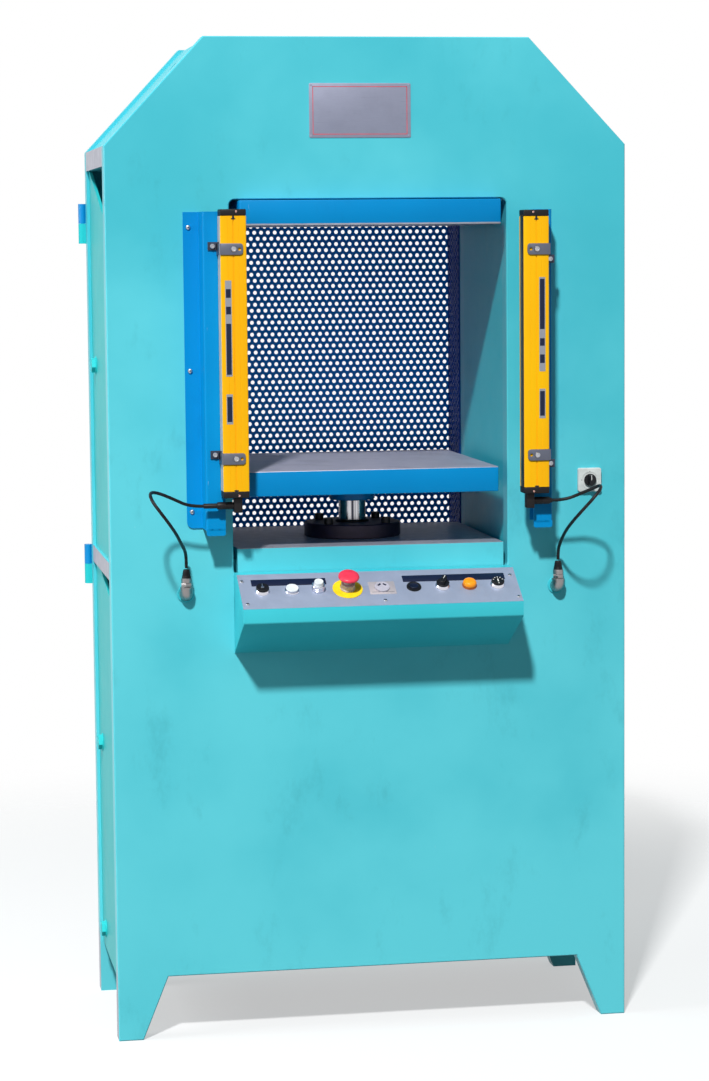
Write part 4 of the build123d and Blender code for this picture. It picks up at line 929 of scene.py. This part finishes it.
# Their end caps are moulded black, each held by a small copper-coloured screw. The status strips
# stuck on the front are plain grey plates with dark windows, upside down on the right curtain.
cap_black = moulded("cap_black", (18, 14, 16), 0.42)
copper = polished("cap_screw_copper", (206, 160, 150), 0.25)
status_grey = satin("status_grey", (150, 152, 160), (1, 1, 30))
strips = (
    (1.3385, 1.5245, ((1.342, 1.441), (1.459, 1.474), (1.491, 1.508))),
    (1.2455, 1.304, ((1.25, 1.299),)),
)
form = bmesh.new()
for side, x, base, web, foot in curtains:
    for low, notch_z, slot_y, screw_z in (
        (base, 0.0125, 0.002, 0.0045),
        (base + cap_height + profile_height, -0.0035, -0.002, 0.0085),
    ):
        high = low + cap_height
        corners = (x - half_width, curtain_face, low), (x + half_width, curtain_back, high)
        block(form, *corners, 0.0022, 3)
        # Each cap's dark notch and slot at the front are painted shade in the profile's groove.
        notch = front(x, curtain_face + 0.0005, low + notch_z)
        prism(form, notch, oblong(0.0044, 0.007), 0.0007, 0.001, coat=1)
        prism(form, notch, oblong(0.0085, 0.0024, 0, slot_y), 0.00068, 0.0006, coat=1)
        pan_head(form, front(x - side * 0.006, curtain_face, low + screw_z), 0.0021, 0.0009, 4)
    strip_x = x + (0.0115 if side > 0 else -0.0112)
    for z_low, z_high, windows in strips:
        place = front(strip_x, curtain_face + 0.00005, (z_low + z_high) / 2)
        prism(form, place, oblong(0.0125, z_high - z_low), 0.00025, 0.0008, coat=2)
        for low, high in windows:
            z = (low + high) / 2 if side < 0 else z_low + z_high - (low + high) / 2
            window = front(strip_x, curtain_face - 0.0002, z)
            prism(form, window, oblong(0.0095, high - low), 0.00008, 0.0006, coat=3)
cap_finishes = [cap_black, recess_painted_shade, status_grey, legend_print_and_slit_shade, copper]
piece("curtain_end_caps", form, cap_finishes, "curtain_caps")

# Clamps: zinc-plated straps bent round the profile from its front to its outer side, with a foot
# screwed to the bracket's tab. The front end is rounded and has a hole beside the bolt.
# The clamps' feet are coloured dark slate rather than zinc, a painted shade.
foot_painted_shade = coated("foot_painted_shade", (36, 40, 56), 0.4, 0.3)
strap_zinc = polished("strap_zinc", (104, 108, 122), 0.34, 0.0007, (20, 20, 1))
strap = [(-0.0185, -0.011), (half_width, -0.011), (half_width, 0.011), (-0.0185, 0.011)]
bend = [(0.0253, 0), (0.0253, -0.003), (0.0285, -0.003), (0.0285, 0.04), (half_width, 0.04)]
bend += [(half_width, 0)]
ell = [(half_width, 0.04), (half_width, 0.02), (0.0285, 0.02), (0.0285, 0.037), (0.0455, 0.037)]
ell += [(0.0455, 0.04)]
form = bmesh.new()
for side, x, base, web, foot in curtains:
    outlines = [[(side * u, v) for u, v in outline] for outline in (strap, bend, ell)]
    hole = (side * -0.0115, 0, 0.003)
    for lift in clamp_lifts:
        place = front(x, curtain_face, base + lift)
        rounds = [0.006, 0, 0, 0.006]
        prism(form, place, outlines[0], 0.003, rounds, 0.0004, holes=[hole])
        place = at(x, curtain_face, base + lift - 0.011)
        rounds = [0, 0, 0.0028, 0, 0, 0]
        prism(form, place, outlines[1], 0.022, rounds, 0.0003, 1, both=True)
        place = at(x, curtain_face, base + lift + foot - 0.008)
        rounds = [0, 0, 0, 0.001, 0, 0]
        prism(form, place, outlines[2], 0.016, rounds, 0.0003, 1, 1, both=True)
piece("curtain_clamps", form, [strap_zinc, foot_painted_shade], "curtain_clips")

# Brackets: 3 mm sheet folded twice and painted blue. The flange is screwed to the front plate and
# the narrow tab carries the curtain's clamps. Both flanges point to the left, so that the right
# one lies hidden behind its curtain.
bracket_blue = enamel("bracket_blue", (0, 140, 202), (0, 128, 192), gloss=0.1)
left_folds = [(-flange_width, 0), (-flange_width, -0.003), (0, -0.003), (0, -0.066)]
left_folds += [(0.038, -0.066), (0.038, -0.063), (0.003, -0.063), (0.003, 0)]
right_folds = [(-flange_width, 0), (0, 0), (0, -0.066), (-0.038, -0.066)]
right_folds += [(-0.038, -0.063), (-0.003, -0.063), (-0.003, -0.003), (-flange_width, -0.003)]
folded = {
    -1: (left_folds, [0, 0, 0.001, 0.004, 0, 0, 0.001, 0.004]),
    1: (right_folds, [0, 0.004, 0.004, 0, 0, 0.001, 0.001, 0]),
}
bracket_foot = 1.034
form = bmesh.new()
for side, x, base, web, foot in curtains:
    sheet = bmesh.new()
    outline, rounds = folded[side]
    prism(sheet, at(web, front_face, bracket_foot), outline, 0.624, rounds)
    if side < 0:
        tips = []
        for item in sheet.edges:
            first, second = [spot.co for spot in item.verts]
            level = abs(first.z - second.z) < 1e-6 and first.z < bracket_foot + 0.006
            if level and all(abs(end.x - web + flange_width) < 1e-5 for end in (first, second)):
                tips.append(item)
        soften(sheet, tips, 0.012, 6)
    merge(form, sheet, Matrix(), 0)
    tab = front(web - side * 0.019, front_face - 0.063, bracket_foot - 0.003)
    prism(form, tab, oblong(0.0376, 0.014), 0.003, [0.004, 0.004, 0, 0])
piece("curtain_bracket_sheets", form, [bracket_blue], "curtain_brackets")

# Connectors: moulded blocks under the curtains with a screwed plug that points outwards and a
# smooth sleeve round the cable.
plug_y, plug_long = -0.299, 0.033
form = bmesh.new()
for side, x, base, web, foot in curtains:
    plug_x, sleeve = {-1: (-0.281, 0.027), 1: (0.306, 0.005)}[side]
    low, high = (plug_x - 0.008, plug_y - 0.01, base - 0.03), (plug_x + 0.008, plug_y + 0.01, base)
    block(form, low, high, 0.0016, 3)
    plug = [(0, 0), (0.0066, 0), (0.0066, 0.002)]
    for rib in range(6):
        start = 0.002 + rib * 0.0028
        plug += [(0.0075, start + 0.0004), (0.0075, start + 0.0018)]
        plug += [(0.007, start + 0.0022), (0.007, start + 0.0028)]
    plug += [(0.0074, 0.0206), (0.0074, 0.031), (0.0066, plug_long), (0.005, plug_long)]
    end = plug_long + sleeve
    plug += [(0.005, end - 0.0015), (0.0042, end), (0, end)]
    turned(form, flank(side, plug_x + side * 0.008, plug_y, base - 0.016), plug, 32)
piece("curtain_plugs", form, [cap_black], "curtain_connectors")

# Elbows: nickel-plated conduit fittings screwed into the front plate through a painted washer,
# with a slim hexagon collar and a rubber boot that grips the cable.
elbow_nickel = polished("elbow_nickel", (150, 146, 146), 0.3)
elbows = ((-0.377, 0.903), (0.38, 0.899))
pipe, leg_y, turn_radius, bend_start = 0.0125, -0.235, 0.0135, front_face - 0.005
washer = [(0, 0), (0.017, 0), (0.017, 0.002), (0.0162, 0.003), (0, 0.003)]
lip = [(pipe, 0), (0.0132, 0.0008), (0.0132, 0.0022), (0.0105, 0.0038), (0, 0.0038)]
collar = [(0.0098, 0), (0.0106, 0.0006), (0.0106, 0.0085), (0.0098, 0.0095), (0, 0.0095)]
form = bmesh.new()
for x, z in elbows:
    turned(form, front(x, front_face, z), washer, 48, 1)
    tube = bmesh.new()
    bmesh.ops.create_circle(tube, segments=32, radius=pipe, cap_ends=False)
    tube.transform(front(x, front_face - 0.002, z))
    bmesh.ops.extrude_edge_only(tube, edges=tube.edges[:])
    bmesh.ops.translate(tube, verts=tube.verts[32:], vec=(0, -0.0045, 0))
    mouth = [item for item in tube.edges if all(spot.co.y < bend_start for spot in item.verts)]
    quarter = {"axis": (-1, 0, 0), "angle": math.pi / 2, "steps": 10}
    middle = (x, leg_y + turn_radius, z + turn_radius)
    bmesh.ops.spin(tube, geom=mouth, cent=middle, **quarter)
    bmesh.ops.remove_doubles(tube, verts=tube.verts, dist=1e-6)
    merge(form, tube, Matrix(), 0)
    turned(form, at(x, leg_y, z + turn_radius), lip)
    prism(form, at(x, leg_y, z + 0.0165), ring(0.0112, 6, 0.3), 0.008, edge=0.0006, both=True)
    turned(form, at(x, leg_y, z + 0.0245), collar)
piece("cable_elbow_fittings", form, [elbow_nickel, turquoise_sheet_shaded], "cable_elbows")

boot = [(0, 0), (0.0088, 0), (0.0092, 0.001), (0.009, 0.006)]
for rib in range(3):
    start, radius = 0.006 + rib * 0.0038, 0.0086 - rib * 0.0007
    boot += [(radius, start + 0.0006), (radius, start + 0.0026), (radius - 0.0006, start + 0.0031)]
boot += [(0.0064, 0.0185), (0.0058, 0.02), (0.0034, 0.02)]
form = bmesh.new()
for x, z in elbows:
    turned(form, at(x, leg_y, z + 0.0315), boot, 36)
piece("cable_boot_sleeves", form, [cable_rubber], "cable_boots")


# Studio: a pale floor that fades into a white surround. The key lamp stands far away, high in
# front and to the left, so that its light hardly falls off, and a weak one lights the left side.
def lamp(name, place, aim, size, watts):
    """A square soft lamp that shines at a point."""
    light = bpy.data.lights.new(name, "AREA")
    light.size = size
    light.energy = watts
    thing = stand(name, light)
    thing.location = place
    thing.rotation_euler = (Vector(aim) - Vector(place)).to_track_quat("-Z", "Y").to_euler()


lamp("key_lamp", (-4.0, -11.3, 12.9), (0, -0.2, 1.0), 1.0, 3350)
lamp("side_lamp", (-4.6, -0.6, 2.4), (0, 0, 1.1), 1.6, 90)

# The surround and the floor look white to the camera but give little light of their own.
white, ambient_tint, ambient_strength = (1, 1, 1, 1), (0.66, 0.92, 1, 1), 0.19
world = bpy.data.worlds.new("surround")
bpy.context.scene.world = world
sky = Nodes(world)
ambient = sky.add("Background", {0: ambient_tint, 1: ambient_strength})
backdrop = sky.add("Background", {0: white})
sky.show(sky.blend(sky.seen_directly(), ambient, backdrop), "World Output")

mesh = bpy.data.meshes.new("floor")
mesh.from_pydata([(x, y, 0) for x, y in ring(5, 64)], [], [range(64)])
floor = stand("floor", mesh)
pale = Finish("pale_floor", Roughness=0.8, Specular_IOR_Level=0.1)
seen = pale.seen_directly()
x, y, z = pale.axes()
far = pale.ease(x * x + y * y, 1.2, 9.0)
pale.feed(Base_Color=pale.mix(seen, (0.15, 0.21, 0.22), (0.9, 0.9, 0.9)))
surface = Wire(pale, pale.shader.outputs[0])
lit = pale.add("Emission", {0: white, 1: 1.0})
clear = pale.add("BsdfTransparent")
pale.show(pale.blend(far, pale.blend(seen * 0.5, surface, lit), clear), "Material Output")
mesh.materials.append(pale.material)
